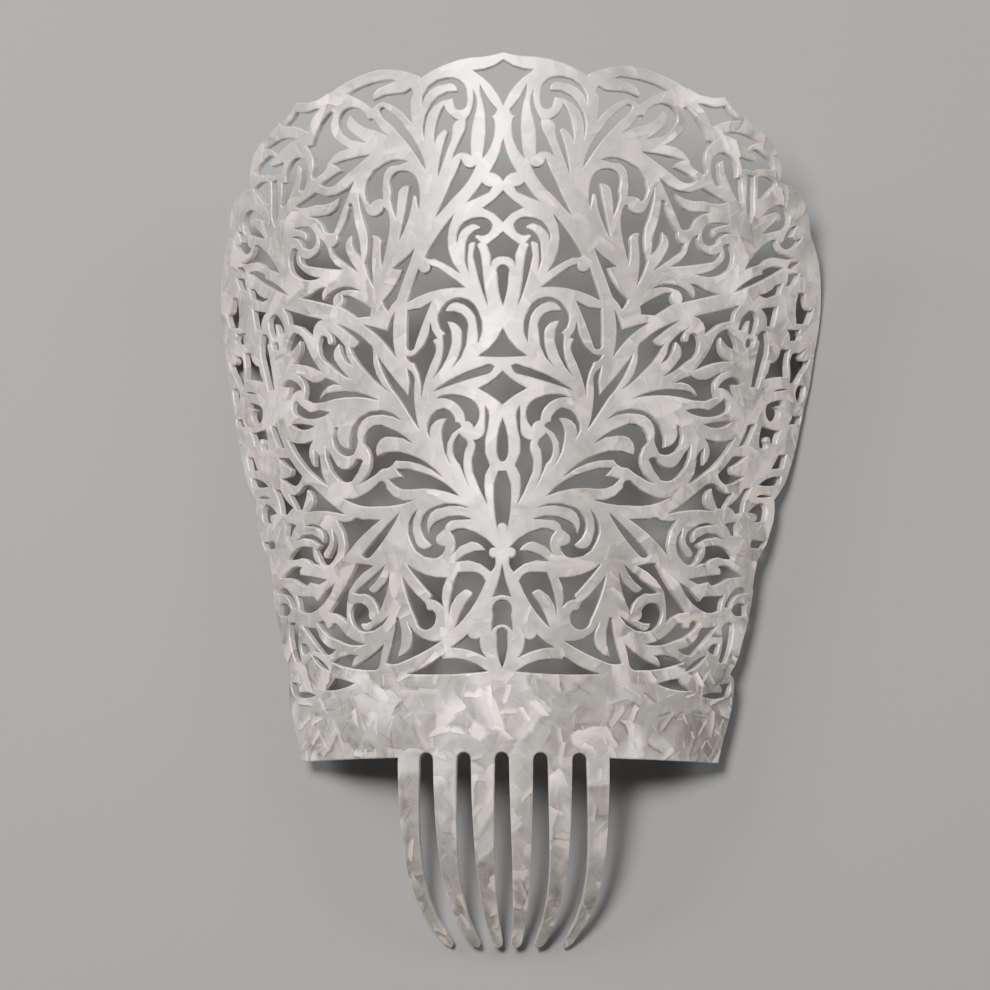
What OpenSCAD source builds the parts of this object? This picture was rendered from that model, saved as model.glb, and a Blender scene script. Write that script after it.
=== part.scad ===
/* [Crest] */
// height of the pierced crest, from the tops of the tooth slots to the peak
crest_h = 200; // [150:1:260]
// angle the crest wraps to each side of its middle, at the widest place
wrap = 60.3; // [45:0.5:66]
// outside radius of the curved sheet at the tops of the tooth slots
band_r = 91.4; // [80:0.5:110]
// outside radius of the curved sheet at the peak, a little more, so the crest flares
peak_r = 110.1; // [95:0.5:130]
// thickness of the sheet
wall = 2.2; // [1.8:0.1:3.5]
// how far the plain band reaches below the tops of the tooth slots
band_drop = 1.3; // [0.5:0.1:4]

/* [Teeth] */
// number of teeth
teeth = 6; // [4:1:8]
// how far the teeth reach below the tops of the slots
tooth_h = 54; // [40:1:75]
// width of a tooth where it leaves the band
tooth_w = 6.9; // [5:0.1:9]
// width of a tooth before its rounded tip
tooth_tip_w = 3; // [2.4:0.1:5]
// width of the slot between two teeth where they leave the band
slot_w = 4; // [3:0.1:6]
// angle the teeth turn inward between the band and the tips
tooth_bend = 36; // [10:1:50]
// share of its distance from the middle that the tip of an outer tooth draws in
tooth_gather = 0.4; // [0:0.01:0.5]
// the same share for the teeth next to the middle
inner_gather = 0.55; // [0:0.01:0.6]
// how much slimmer the outer teeth are on their outer side
outer_trim = 0.5; // [0:0.1:1.5]
// thickness of the teeth at their tips
tooth_tip_t = 1.6; // [1.2:0.1:2.2]

/* [Fretwork] */
// largest turn of one flat of a curved gap wall, in degrees
arc_turn = 26; // [10:1:40]
// longest flat of a curved gap wall
arc_flat = 4; // [1:0.5:6]

/* [Hidden] */
// the chart below is drawn for a crest this high
chart_h = 200;
// and for a widest place this far from the middle, measured round a 100 mm radius
chart_half = 105.2;
// what the chart calls the peak
chart_peak = 198.4;
// angle by which the uncut sheet goes past the widest place
spare = 4;
// height by which the uncut sheet goes past the peak
head = 3;
// radial reach of the tools that pierce the sheet
tool_in = 25;
tool_out = 12;
// flats along the bend of a tooth
bend_steps = 10;
// pairs of gaps cut in one batch
batch = 54;
pitch = tooth_w + slot_w;
slope = atan((peak_r - band_r) / crest_h);
top_z = crest_h * chart_peak / chart_h;
tooth_run = tooth_h * tooth_bend * PI / 180 / (sin(slope + tooth_bend) - sin(slope));
$fn = 180;

// chart of the rim, right half. Each part is [middle across, the rim's own rows, corners outside it],
// and the first part is the crown, which crosses the middle line. Each part starts a little outside
// the corner where the part before it ends, so that the two tools cross cleanly.
// A row is [across, up, across, up]: a corner, then a point on the arc that leads to the next corner.
RIM = [
  [11, [[0, 198.4, 2.4, 197.8], [5, 197.3, 14.5, 195.9], [22.2, 192.1, 22.2, 192.1]],
    [[22.5, 192.8], [22.5, 212]]],
  [36, [[22.2, 192.35, 28.5, 194.9], [34.4, 195.6, 42.5, 193.8], [50, 190.6, 50, 190.6]],
    [[50.5, 191.1], [50.5, 212], [22.1, 212], [22.1, 192.8]]],
  [59, [[50, 190.85, 55.5, 189.2], [61.5, 190, 63.9, 187.3], [68, 184.9, 68, 184.9]],
    [[68.5, 185.4], [68.5, 212], [49.9, 212], [49.9, 191.3]]],
  [75.5, [[68, 185.15, 71, 183.6], [74, 182, 80.5, 177.4], [82.7, 168.1, 82.7, 168.1]],
    [[83.6, 168.5], [84, 212], [67.9, 212], [67.9, 185.6]]],
  [90, [[82.85, 168.35, 90.3, 166.7], [95.7, 161, 96.4, 158], [97.3, 154.7, 97.3, 154.7]],
    [[98.2, 155], [113, 155], [113, 212], [83.1, 212], [82.9, 169]]],
  [101, [[97.45, 154.85, 100.4, 151.2], [102.4, 147.8, 104.5, 140.5], [105.2, 133.5, 104.8, 127.5],
      [103.6, 121, 103, 115.5], [102.1, 110, 100.7, 106], [99.6, 102, 99.6, 102]],
    [[100.4, 101.6], [118, 101.6], [118, 155.6], [97.8, 155.6]]],
  [94, [[99.85, 102.1, 98.9, 98.5], [98.2, 95, 96, 87.5], [93.5, 81.2, 91.3, 78.4],
      [88.7, 75.5, 88.7, 75.5]],
    [[89.5, 75], [118, 75], [118, 102.7], [100.2, 102.7]]],
  [86, [[88.95, 75.55, 89.4, 71.5], [88, 66.3, 86.3, 62], [83.4, 57.8, 82.4, 53.5],
      [81.9, 49, 81.9, 49]],
    [[82.7, 48.6], [116, 48.6], [116, 76], [89.4, 76]]],
  [79, [[82.15, 49.1, 81.2, 41.5], [79, 33.5, 77.3, 28.2], [74.5, 24, 74.5, 24]],
    [[75.4, 24.35], [114, 24.35], [114, 49.7], [82.5, 49.7]]],
  [76, [[74.75, 24.2, 76, 23.3], [76.7, 21.6, 76.3, 15.5], [74.3, 7.5, 73, 3], [71.8, -3, 71.8, -3]],
    [[114, -3], [114, 24.95], [75.45, 24.95]]]
];

// chart of the gaps on the middle line, each a closed ring of rows like those of the rim
MID_GAPS = [
   [[0, 52.5, 1, 47.8], [2.7, 43.4, 0, 44], [-2.7, 43.4, -1, 47.8]],
   [[3.1, 33.6, 3, 36], [2.6, 38.3, 0, 42.5], [-2.6, 38.3, -3, 36], [-3.1, 33.6, 0, 35.7]],
   [[0, 23.2, 1.3, 27.2], [1.5, 32.3, 0, 34.6], [-1.5, 32.3, -1.3, 27.2]],
   [[1.4, 62.2, 2.3, 68], [2.4, 75, 1.9, 77], [1.1, 78.6, 0, 78.7], [-1.1, 78.6, -1.9, 77],
    [-2.4, 75, -2.3, 68], [-1.4, 62.2, 0, 64.2]],
   [[0, 93.7, 1.1, 90.3], [1.6, 85.5, 1.5, 83.5], [1.1, 82.2, 0, 81.5], [-1.1, 82.2, -1.5, 83.5],
    [-1.6, 85.5, -1.1, 90.3]],
   [[0, 97.6, 3.2, 100.1], [6.8, 102.2, 2.8, 104.4], [0, 106.9, -2.8, 104.4],
    [-6.8, 102.2, -3.2, 100.1]],
   [[0, 119, 2.3, 115.1], [6.7, 111.4, 0, 111.1], [-6.7, 111.4, -2.3, 115.1]],
   [[0, 125.7, 1, 129.5], [1.5, 134.8, 0, 137.2], [-1.5, 134.8, -1, 129.5]],
   [[0, 146.6, 1.9, 144.9], [4.4, 143, 3.4, 140.5], [3.4, 137, 2.6, 138.9],
    [1.5, 139.6, 0, 139.8], [-1.5, 139.6, -2.6, 138.9], [-3.4, 137, -3.4, 140.5],
    [-4.4, 143, -1.9, 144.9]],
   [[0, 158.3, 2.4, 155.8], [5.3, 153.6, 2.5, 152.2], [0, 149.6, -2.5, 152.2],
    [-5.3, 153.6, -2.4, 155.8]],
   [[0, 173.2, 1.2, 168.3], [3.4, 163.9, 1.6, 163.3], [0, 161.4, -1.6, 163.3],
    [-3.4, 163.9, -1.2, 168.3]],
   [[0, 196, 3, 194.1], [7.8, 193.2, 3.3, 189.2], [0, 183.1, -3.3, 189.2],
    [-7.8, 193.2, -3, 194.1]]
];

// chart of the larger gaps of the right half, drawn again mirrored on the left
SIDE_GAPS = [
   [[5, 47.7, 6.6, 49.7], [8.8, 50.3, 11, 50.3], [13.2, 50.2, 15.2, 45.2],
    [16.3, 38.1, 14.2, 43.2], [11.2, 45.5, 9.9, 45.3], [8.8, 44.4, 11.8, 40.3],
    [14.4, 34.6, 8.6, 41]],
   [[2.1, 57.2, 6.4, 60.7], [11.5, 62.6, 13.5, 62.5], [15.3, 61.8, 13.9, 59],
    [15, 55.2, 12.5, 57.7], [9, 59, 6.5, 58.2], [5, 56.4, 9.6, 55.8], [13.8, 53.4, 8, 53.3],
    [3.3, 50.4, 2.1, 52.3], [2.1, 54.3, 4, 55.7]],
   [[9, 65.3, 14.5, 66.3], [19.5, 64.8, 21.2, 63.5], [22, 61.6, 22.3, 65.8],
    [18, 68.7, 14, 69.2], [10, 68.4, 15.8, 69.8], [20.5, 68.8, 24.4, 64.6],
    [23.4, 60.4, 22.4, 59.2], [21.1, 58.1, 24.4, 57.3], [26.3, 59.7, 27.1, 63.5],
    [25.5, 68.4, 28.4, 63.9], [27.7, 59.5, 25.4, 56.1], [20.8, 54.5, 18, 55.5],
    [17, 57.6, 18.3, 57.8], [19.4, 58.4, 19.9, 60], [18.7, 61.5, 18, 61.9],
    [17.3, 62.5, 16.3, 64.3], [14, 65.1, 11.5, 65.2]],
   [[16.7, 48.8, 22.8, 49.7], [29.2, 53.1, 26, 49.1], [22.2, 44.9, 21.6, 43.9],
    [22.4, 43, 20, 42.5], [17.9, 40.7, 18.2, 45]],
   [[30.8, 49.9, 29.3, 44], [26.5, 37.3, 23, 34.4], [20.3, 37.3, 20.4, 38.8],
    [21.3, 39.8, 22.3, 39.8], [23.1, 40.6, 23.3, 41.5], [23.8, 42.2, 27.3, 45.5]],
   [[37.4, 66, 40.8, 66.3], [44, 66.5, 45.7, 67], [47.3, 66.3, 50, 66.1],
    [52.5, 66.7, 49.9, 61.2], [50.7, 55.6, 44.4, 61.4]],
   [[54.5, 64.2, 52.5, 59.8], [54.9, 55.2, 57.5, 54.2], [60, 56.8, 60.8, 57.8],
    [61.3, 58.9, 60.3, 59.4], [59.6, 60.2, 62.8, 62.1], [69.8, 62.3, 64.6, 63.9],
    [59.5, 62, 58.9, 61.3], [58.4, 60.8, 58, 63], [60, 65.2, 61.8, 65.7],
    [65.8, 66.3, 61.8, 66.5], [57.5, 64.4, 55.9, 62.8], [56, 60.2, 57, 58.9],
    [58.2, 57.8, 57.6, 56.4], [56.2, 56.8, 54.3, 59.8]],
   [[57.2, 50.1, 62.5, 51.3], [68.6, 52.3, 68.5, 53.6], [67.6, 54.4, 70.5, 55],
    [72, 54.7, 75, 53.4], [78, 52.4, 74.5, 51.9], [71.8, 51.5, 69.6, 50.3], [66.5, 49, 65, 49.2],
    [64.4, 49.8, 62.5, 49.4], [60.8, 48.9, 59, 49.5]],
   [[54.3, 49, 58.6, 46.7], [61.8, 44.2, 62.7, 45.3], [64.5, 45.7, 67.5, 45.9],
    [70.5, 46.4, 69.6, 44.3], [69.4, 42.2, 65.3, 41], [62, 41.7, 57.2, 44.9]],
   [[40.2, 53, 43.3, 53.7], [46.3, 54, 51.1, 47.2], [57.4, 40.7, 53.6, 39.9],
    [50.3, 37.4, 50.2, 42], [49.1, 46.3, 46.5, 49.3]],
   [[36.2, 53.2, 41.4, 49.5], [47.5, 45.8, 45.2, 45.3], [43.2, 45.3, 40.6, 43.7],
    [38.7, 39.8, 36.3, 44.5], [34.7, 51.3, 36.2, 48.3], [39, 45.9, 40.8, 45.5],
    [42.1, 46.7, 38.8, 49.3]],
   [[41.2, 37.5, 42.3, 38.7], [42.2, 40.3, 43.7, 42.2], [46, 42.7, 48.4, 41.5],
    [48.8, 38.8, 47.4, 36.1], [44, 34.5, 39.3, 35.2], [35.3, 38.8, 38.6, 36.7],
    [42, 35.2, 44.7, 35.6], [45.1, 36.9, 43, 36.9]],
   [[4.4, 22.5, 10.3, 25.4], [18, 26, 18.3, 26.3], [18.7, 26.9, 24, 24], [30, 22.2, 17, 21.8]],
   [[18.6, 31.1, 24, 31.7], [29.1, 36.3, 28.5, 29.8], [32.9, 26.9, 31.4, 31.8],
    [32.2, 38, 32.7, 38], [33.1, 37.2, 34.4, 31.8], [36.8, 25.4, 34.8, 25],
    [32.6, 25.2, 26, 27.5]],
   [[37.3, 30.9, 42, 27.6], [48.9, 25, 48.4, 26.8], [46.6, 27.9, 51.5, 28.2],
    [56.7, 26.5, 49.5, 24.4], [41.5, 23.6, 39.7, 24], [38.9, 25.3, 38.3, 28]],
   [[4.9, 97.1, 5, 93], [5.1, 90, 6.1, 88.2], [8.3, 87.4, 7.8, 86.3], [7.8, 85.2, 8.9, 80.5],
    [7.4, 75.5, 6.2, 72.7], [4.4, 69.4, 5.3, 73.7], [5.1, 77.6, 4.6, 78.8], [3.7, 80.3, 4.9, 83],
    [5.1, 87.5, 4.3, 90.7], [3.9, 94.5, 4.3, 96.2]],
   [[12, 91.4, 12.6, 92.4], [13.6, 92.7, 14.7, 95.4], [17, 96.8, 20.7, 95],
    [21.1, 88.3, 20.1, 92.8], [16, 93.9, 17.6, 90.8], [17.6, 88, 16.9, 84.3],
    [15.2, 80.9, 16.2, 86.4]],
   [[29.6, 93.8, 36.5, 97.3], [43.5, 95.6, 46.5, 92.4], [47.4, 87, 50.3, 88.4],
    [51, 93.4, 51.7, 93.5], [52.4, 93, 52, 87.2], [49, 85.1, 47.4, 84.9],
    [45.9, 85.2, 44.7, 87.2], [44.2, 89, 43.2, 94], [39, 96, 34, 95.7]],
   [[26.3, 87, 30.2, 90.2], [34.5, 92.3, 39.5, 92.7], [42.6, 88.4, 40, 83.6],
    [41.6, 79.2, 43, 77.8], [45, 76.4, 41, 77.8], [36.3, 80.5, 34, 80.8], [32, 82.6, 25.4, 81.6],
    [17.4, 77.1, 24.3, 82.7], [31, 85.1, 34.5, 85.2], [38, 84.3, 37.4, 88.2],
    [33.3, 89.5, 29.6, 88.9]],
   [[12.7, 71.8, 18.8, 76.7], [24.5, 79, 28, 80.1], [31.9, 80.3, 31, 79], [29.9, 77.9, 32, 77.8],
    [34.3, 77.3, 32, 75.2], [27.5, 74.2, 20, 74]],
   [[26.5, 71, 31.8, 71.8], [35.2, 74.9, 36.7, 77], [38.2, 76.2, 43, 73.5],
    [46.5, 72.6, 48, 72.7], [50, 72.9, 44.5, 70.6], [38, 69.9, 31, 70.1]],
   [[42.7, 83.2, 44, 83.9], [45.3, 83.6, 48.6, 81.2], [52.6, 83.6, 54, 85.9],
    [55.9, 88, 55.2, 83.3], [52.5, 79.5, 49.6, 77.6], [46.8, 77.6, 44.3, 80.4]],
   [[55.6, 77.1, 57.6, 80.5], [58.1, 83.8, 58.6, 86.2], [60.4, 87.6, 60.3, 85.2],
    [60.5, 83, 62.4, 86.3], [60.5, 90.6, 65, 90.1], [70.9, 91.5, 66, 85],
    [60.5, 80.3, 58.1, 78.5]],
   [[49.4, 68.2, 55, 72], [61, 76.9, 64, 78], [67.3, 76.3, 69.3, 75.6], [71.5, 75.8, 69.7, 73.2],
    [68.4, 71.1, 67.2, 71], [66.1, 71, 64.4, 74.4], [63.7, 76.6, 61.5, 73.7],
    [64.5, 70.2, 57, 69.9]],
   [[6.9, 115.2, 5.8, 119.5], [7, 124.2, 12.3, 128.1], [17.2, 125.4, 18.4, 121.6],
    [16.2, 118, 16.6, 117.7], [17, 117.2, 17.2, 111.8], [20, 105.4, 16.2, 110.5],
    [14.5, 115.5, 14.7, 118.9], [15.7, 121.5, 12.6, 120.4], [11.5, 117, 12.1, 112.5],
    [14.5, 108.1, 11, 112.8], [10, 118.5, 11, 122.9], [13.5, 124.2, 14.7, 124.3],
    [16.1, 124.4, 15.1, 126.2], [12.8, 126.9, 9.2, 125], [7.3, 120.5, 7, 117.8]],
   [[20.2, 127.3, 23.5, 125.6], [27.3, 125.3, 27.6, 120.3], [27.7, 115.4, 26.7, 113.7],
    [25.3, 114.9, 23.2, 120.4]],
   [[20.6, 121.3, 22, 116.1], [25.3, 112.4, 26.5, 112], [27.9, 112, 27.2, 110.8],
    [25.7, 110.1, 24.2, 106.5], [23.7, 100.2, 22, 106.4], [19.6, 111.8, 19.1, 114.2],
    [19.8, 116.2, 19.4, 116.6], [18.7, 116.8, 19.9, 118.6]],
   [[24.4, 91, 25.7, 97.5], [25.7, 104, 25.9, 106.8], [27.7, 108.4, 27.1, 104.5],
    [27.6, 100.9, 32, 106.3], [36.9, 112.9, 34.3, 106], [30.2, 100.2, 27.2, 95.4]],
   [[33.5, 102.3, 37.6, 108], [38.3, 114, 38.6, 115.7], [39.7, 116.8, 44, 120.4],
    [50.3, 123.4, 46.3, 120.4], [43, 117.5, 43.6, 116.3], [46.1, 116.4, 43.8, 112.2],
    [40.5, 108.5, 37, 105]],
   [[56.3, 119.9, 57, 117], [53.5, 112.2, 50.5, 109.6], [46.2, 107.1, 49.3, 110.2],
    [51.4, 113.2, 51.3, 115.8], [49.6, 117.4, 49.1, 115.2], [47.6, 112.4, 46.6, 111.5],
    [45.3, 110.7, 47, 113.6], [47.7, 116.8, 49.2, 118.5], [50.5, 119.8, 52.2, 120.9],
    [53.8, 122, 52.3, 120.6], [51.8, 119, 52.6, 117.6], [53.6, 118.7, 54.4, 120.2]],
   [[49.7, 105.6, 52, 106.9], [54.8, 108.1, 58, 107.1], [62, 108.5, 64.3, 109.8],
    [66.9, 110.7, 62.9, 107.3], [63.5, 102.9, 60.5, 101.5], [56, 101.2, 47, 101.9],
    [36.9, 100.2, 44, 103], [52, 103.8, 54.9, 103.6], [57.3, 102.5, 54.8, 105.3]],
   [[56.3, 109.9, 59.6, 114.4], [62, 119.3, 64, 121.7], [66.5, 122.7, 68.5, 121],
    [70.1, 116.9, 67, 117.7], [64, 120.1, 64, 116.8], [68.6, 113.7, 63, 112.8]],
   [[55.2, 125.2, 62.5, 127.5], [70, 130.2, 68.5, 128], [68, 125.5, 65.5, 124.8],
    [63.3, 124, 61.2, 122.3], [58.8, 120.5, 58.2, 123.5]],
   [[80.9, 124.1, 81.9, 119.8], [80.9, 114.8, 79.8, 110.8], [78.8, 107.2, 77.5, 107.1],
    [76.1, 107.3, 77, 113.5], [78.4, 120.6, 77.9, 120.9], [77.3, 121.4, 78.2, 123.4]],
   [[81.1, 110, 82.6, 112.6], [83.1, 115, 85.5, 116], [87, 118.7, 87.1, 119.4],
    [87.6, 119.8, 89.3, 120.1], [91.1, 120.2, 90.4, 116.2], [91, 112.2, 86, 111.4]],
   [[91.8, 116.3, 92, 118.1], [92.8, 119.3, 96, 120.1], [99.5, 121.8, 97.1, 120],
    [96.4, 118.8, 97, 118], [98, 117.9, 99.6, 118.2], [101, 118.9, 100.1, 116.8],
    [97.8, 114.3, 96.4, 112.3], [95.2, 110.8, 93.8, 110.5], [92.2, 110.5, 92.2, 113]],
   [[23.5, 153.8, 23.1, 157.8], [23.6, 161.8, 25, 164.3], [28.2, 165.5, 30.8, 164.6],
    [31.7, 161.5, 31.4, 159.4], [31.7, 157.4, 31, 154.4], [30.1, 151.9, 29.8, 156],
    [29.2, 159.5, 28.2, 160.8], [26, 161.1, 27.1, 155.5], [29.5, 145.2, 26.9, 150.5],
    [25, 157.7, 24.6, 158.1], [24.1, 157.6, 23.9, 155.5]],
   [[3, 148.6, 4.1, 150.2], [6.5, 150.8, 11.1, 149.2], [12.7, 143.9, 10.9, 147.9],
    [8.3, 149.2, 7.1, 148.9], [6.1, 147.9, 8.8, 146.3], [10.3, 142, 10.5, 138.7],
    [9.6, 135.2, 9.9, 139], [9.6, 142.3, 9.2, 143.6], [8.2, 144, 7.7, 143.8],
    [7.6, 143.2, 8.1, 140.8], [7.4, 136.3, 6.2, 131.5], [4.2, 125.6, 5.2, 131],
    [5.8, 137, 6.2, 140.2], [7, 143, 6.8, 143.4], [6.4, 143.7, 7.1, 144.6],
    [7.7, 145.4, 7.2, 145.9], [6.2, 145.7, 4, 146.4]],
   [[13.5, 152, 17.9, 146.4], [21.8, 140.2, 21, 139.7], [19.2, 139.6, 15.6, 137.7],
    [12.2, 135.3, 15.4, 143.2]],
   [[10.6, 131, 14.8, 134.3], [18.3, 136.9, 19.4, 137.3], [20.4, 137.7, 21.8, 135.6],
    [23.8, 136.9, 25.3, 133.2], [27.3, 127.5, 19, 130.6]],
   [[26.4, 168, 29.9, 168.9], [33.4, 168, 38, 164.8], [39.5, 160, 38.9, 157.8],
    [38, 156.6, 36.4, 157.8], [33.9, 157.9, 34.1, 160.5], [33.7, 163.9, 33, 165.9],
    [31.4, 167.2, 29, 167.3]],
   [[33.9, 155.4, 36.6, 153.1], [39.4, 155.1, 40.4, 157.9], [41.4, 160.6, 41.1, 156.8],
    [40.1, 152.2, 38.9, 146.5], [40.2, 139.8, 39.4, 137], [37.4, 132.6, 37.9, 137.5],
    [37.3, 145.5, 37.3, 146.8], [37.6, 147.6, 35.7, 147.3], [34.9, 144.5, 35, 141.7],
    [34.8, 138.4, 33.8, 141.8], [32.3, 148.5, 32.1, 152], [32.8, 154.6, 33.3, 155.1]],
   [[43.6, 157.4, 44.1, 157.6], [44.7, 156.5, 46.2, 152.3], [48.7, 148.8, 49.1, 146.8],
    [51.1, 145.6, 50.8, 144.3], [49.8, 143.2, 46, 140.2], [42.1, 137.3, 44.4, 140.4],
    [46, 143.7, 46, 146.6], [44.1, 148.4, 44, 145.9], [41.2, 141.6, 41.6, 146.3],
    [43, 152, 43.4, 155]],
   [[42.7, 164.1, 46.3, 157.2], [49.9, 149.9, 51.5, 149.9], [53, 150.8, 54.2, 153.4],
    [58.9, 155.8, 55.3, 155.4], [52, 155.3, 48.9, 157.1], [47.6, 159.9, 51.2, 158.6],
    [56, 158.8, 60, 158.5], [63.9, 159.4, 60, 160.8], [56, 162.4, 54.3, 161.7],
    [52.3, 160.8, 46.9, 161.3]],
   [[47.2, 138.8, 51.3, 142.2], [52.6, 146, 53.7, 147.8], [55.2, 149, 55.2, 146],
    [57.6, 144, 60.1, 143.5], [62.5, 144.5, 61.8, 142.6], [60, 141.5, 54, 140]],
   [[76.3, 157.1, 79.4, 160.2], [83.4, 161.9, 87.1, 159.2], [85.5, 155.1, 81.5, 153.6],
    [76.7, 151.9, 79.2, 154.6], [81.7, 156.6, 82.8, 156.9], [83.5, 157.9, 82.9, 159],
    [81.2, 159.2, 78.8, 158.2]],
   [[71.1, 140.7, 75.3, 146.8], [80, 150.7, 81.2, 151.1], [82.4, 151.4, 83.5, 148.8],
    [85.5, 147.7, 88.2, 147.5], [90.6, 147.3, 87.3, 146.3], [83.7, 146.1, 80.8, 145.8],
    [77.5, 143.4, 74.4, 142.2]],
   [[93.3, 137.3, 95, 137.8], [96.7, 137.6, 97, 135.5], [97.8, 134, 99, 133.3],
    [101, 133.9, 99.9, 131.2], [98.8, 129.1, 96.2, 128.7], [93.4, 128.3, 92.6, 132.6]],
   [[22.1, 184, 20.6, 188.8], [15, 191.4, 11.2, 190.1], [9.9, 186.2, 9.7, 184.8],
    [9.9, 183.6, 11.5, 182.1], [13.1, 183.7, 13.3, 184.6], [13.6, 185.6, 18.1, 184.1],
    [21.1, 179, 21.5, 176.5], [21.6, 173.9, 21.6, 179.5], [19.5, 184.2, 16.4, 186.9],
    [12.3, 187.4, 12.7, 189.2], [15.1, 189.9, 19.8, 188.2]],
   [[25.3, 189.2, 24.6, 188], [25.2, 186.2, 25.4, 182.9], [25, 179.2, 28.6, 183.6],
    [33, 186.1, 34.9, 185.6], [36.4, 184.4, 39.7, 187.2], [44, 189.6, 38.6, 191.4],
    [32.6, 192.2, 31, 192.2], [29.5, 191.6, 31.5, 191.1], [33.4, 190.5, 35.7, 189.1],
    [36.3, 186.8, 33.5, 187.8], [29, 188, 26.7, 188.2]],
   [[31.6, 175.8, 33.9, 177.7], [35.7, 180.3, 36.4, 181.3], [37.8, 181.3, 38.9, 183.4],
    [42.4, 185.5, 46.2, 184.2], [47.2, 181.2, 46.2, 178.8], [43.4, 176.2, 41.2, 175.5],
    [38.7, 174.7, 40.9, 176.3], [43.5, 178.6, 44.7, 181], [43.2, 183.4, 40.8, 180.6],
    [36, 178.2, 33.8, 177.1]],
   [[49.9, 185.3, 48.9, 184.8], [48.9, 183.8, 49.9, 180.6], [48.6, 177.2, 46.9, 175.5],
    [44.2, 173.7, 48, 173], [51.4, 170, 51.8, 168.9], [52.6, 168, 54.1, 167.3],
    [55.6, 166.4, 56.5, 166.8], [56.8, 167.6, 55.9, 171.5], [57.2, 175.2, 57.6, 175.8],
    [58.1, 176.3, 57.2, 176.3], [56.4, 176.4, 53.9, 181.2]],
   [[67.2, 172.8, 67.8, 173.2], [68.6, 173.1, 70.5, 173], [72.6, 172.9, 73, 173.4],
    [73, 174.2, 71.9, 174.9], [70.7, 175.1, 72.2, 176.1], [74.2, 175.9, 77.7, 174.4],
    [80.2, 172.2, 78.3, 171.4], [75.6, 171.1, 73.7, 170.7], [72, 169.9, 70.3, 170.2],
    [68.3, 169.8, 67.9, 171.2]],
   [[58.1, 169, 59.1, 172.2], [62.2, 173.7, 65.4, 171.8], [66.6, 167.1, 67.4, 167.2],
    [68.2, 167.1, 68.4, 164.2], [69.1, 160.8, 68.2, 160.2], [67.3, 160.3, 64.4, 164.5],
    [62.3, 168.9, 62.2, 170.2], [61.8, 171.4, 60.9, 170.9], [60.6, 168.8, 60.9, 166.5],
    [61.6, 164.2, 60.3, 163.7], [59.4, 164.6, 58.3, 166.7]]
];

// points along the arc from a through m, up to but not including b
function arc_pts(a, m, b) = let(
    turn = 2 * (a.x * (m.y - b.y) + m.x * (b.y - a.y) + b.x * (a.y - m.y)),
    span = norm(m - a) + norm(b - m))
  abs(turn) < 0.002 * span * span ? [a] : let(
    cx = ((a * a) * (m.y - b.y) + (m * m) * (b.y - a.y) + (b * b) * (a.y - m.y)) / turn,
    cy = ((a * a) * (b.x - m.x) + (m * m) * (a.x - b.x) + (b * b) * (m.x - a.x)) / turn,
    r = norm(a - [cx, cy]),
    from = atan2(a.y - cy, a.x - cx),
    to_m = turned(atan2(m.y - cy, m.x - cx) - from),
    to_b = turned(atan2(b.y - cy, b.x - cx) - from),
    sweep = to_m < to_b ? to_b : to_b - 360,
    n = max(1, ceil(abs(sweep) / arc_turn), ceil(abs(sweep) * PI / 180 * r / arc_flat)))
  [for (i = [0:n - 1]) [cx + r * cos(from + sweep * i / n), cy + r * sin(from + sweep * i / n)]];
function turned(a) = a < 0 ? a + 360 : a;
function corner(row) = [row[0], row[1]];
function through(row) = [row[2], row[3]];
// closed ring and open run of chart points
function ring(rows) = [for (i = [0:len(rows) - 1])
  each arc_pts(corner(rows[i]), through(rows[i]), corner(rows[(i + 1) % len(rows)]))];
function run(rows) = [for (i = [0:len(rows) - 2])
  each arc_pts(corner(rows[i]), through(rows[i]), corner(rows[i + 1])), corner(rows[len(rows) - 1])];

// chart to sheet: angle round the axis, height, and outside radius at a height
function ang(across) = across * wrap / chart_half;
function up(y) = y > 0 ? y * crest_h / chart_h : y * band_drop / 1.3;
function sheet_r(z) = band_r + (peak_r - band_r) * z / crest_h;
// a chart point as seen square on by a tool that stands at angle mid
function seen(p, mid) = [sheet_r(up(p.y)) * sin(ang(p.x) - mid), up(p.y)];
function flip(p, side) = [side * p.x, p.y];
function middle(pts) = (min([for (p = pts) p.x]) + max([for (p = pts) p.x])) / 2;

// prism that pierces the sheet straight toward the axis, at angle mid from the front
module tool(pts, mid, near, far) {
  rotate([0, 0, mid])
    translate([0, -near, 0])
      rotate([90, 0, 0])
        linear_extrude(height = far - near)
          polygon(pts);
}

module gap(rows, side) {
  pts = [for (p = ring(rows)) flip(p, side)];
  mid = ang(middle(pts));
  low_r = sheet_r(up(min([for (p = pts) p.y])));
  high_r = sheet_r(up(max([for (p = pts) p.y])));
  reach = max([for (p = pts) abs(ang(p.x) - mid)]);
  tool([for (p = pts) seen(p, mid)], mid, low_r * cos(reach) - wall - 1, high_r + 1);
}

module rim_tool(part, side) {
  mid = ang(part[0]) * side;
  pts = concat(run(part[1]), part[2]);
  tool([for (p = pts) seen(flip(p, side), mid)], mid, band_r - tool_in, peak_r + tool_out);
}

// the first part of the rim is cut with its mirror image as one tool
module crown_tool(part) {
  half = concat(run(part[1]), part[2]);
  pts = concat(half, [for (p = backward([for (k = [1:len(half) - 1]) half[k]])) flip(p, -1)]);
  tool([for (p = pts) seen(p, 0)], 0, band_r - tool_in, peak_r + tool_out);
}

// the bend of the teeth: lean of the sheet, radius and height at share s of the way to the tips
function lean(s) = slope + tooth_bend * s;
function bend_k() = tooth_run / (tooth_bend * PI / 180);
function bend_r(s) = band_r - bend_k() * (cos(slope) - cos(lean(s)));
function bend_z(s) = -bend_k() * (sin(lean(s)) - sin(slope));
function share_at(z) = (asin(sin(slope) - z / bend_k()) - slope) / tooth_bend;
function thick(s) = wall + (tooth_tip_t - wall) * s;

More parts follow.
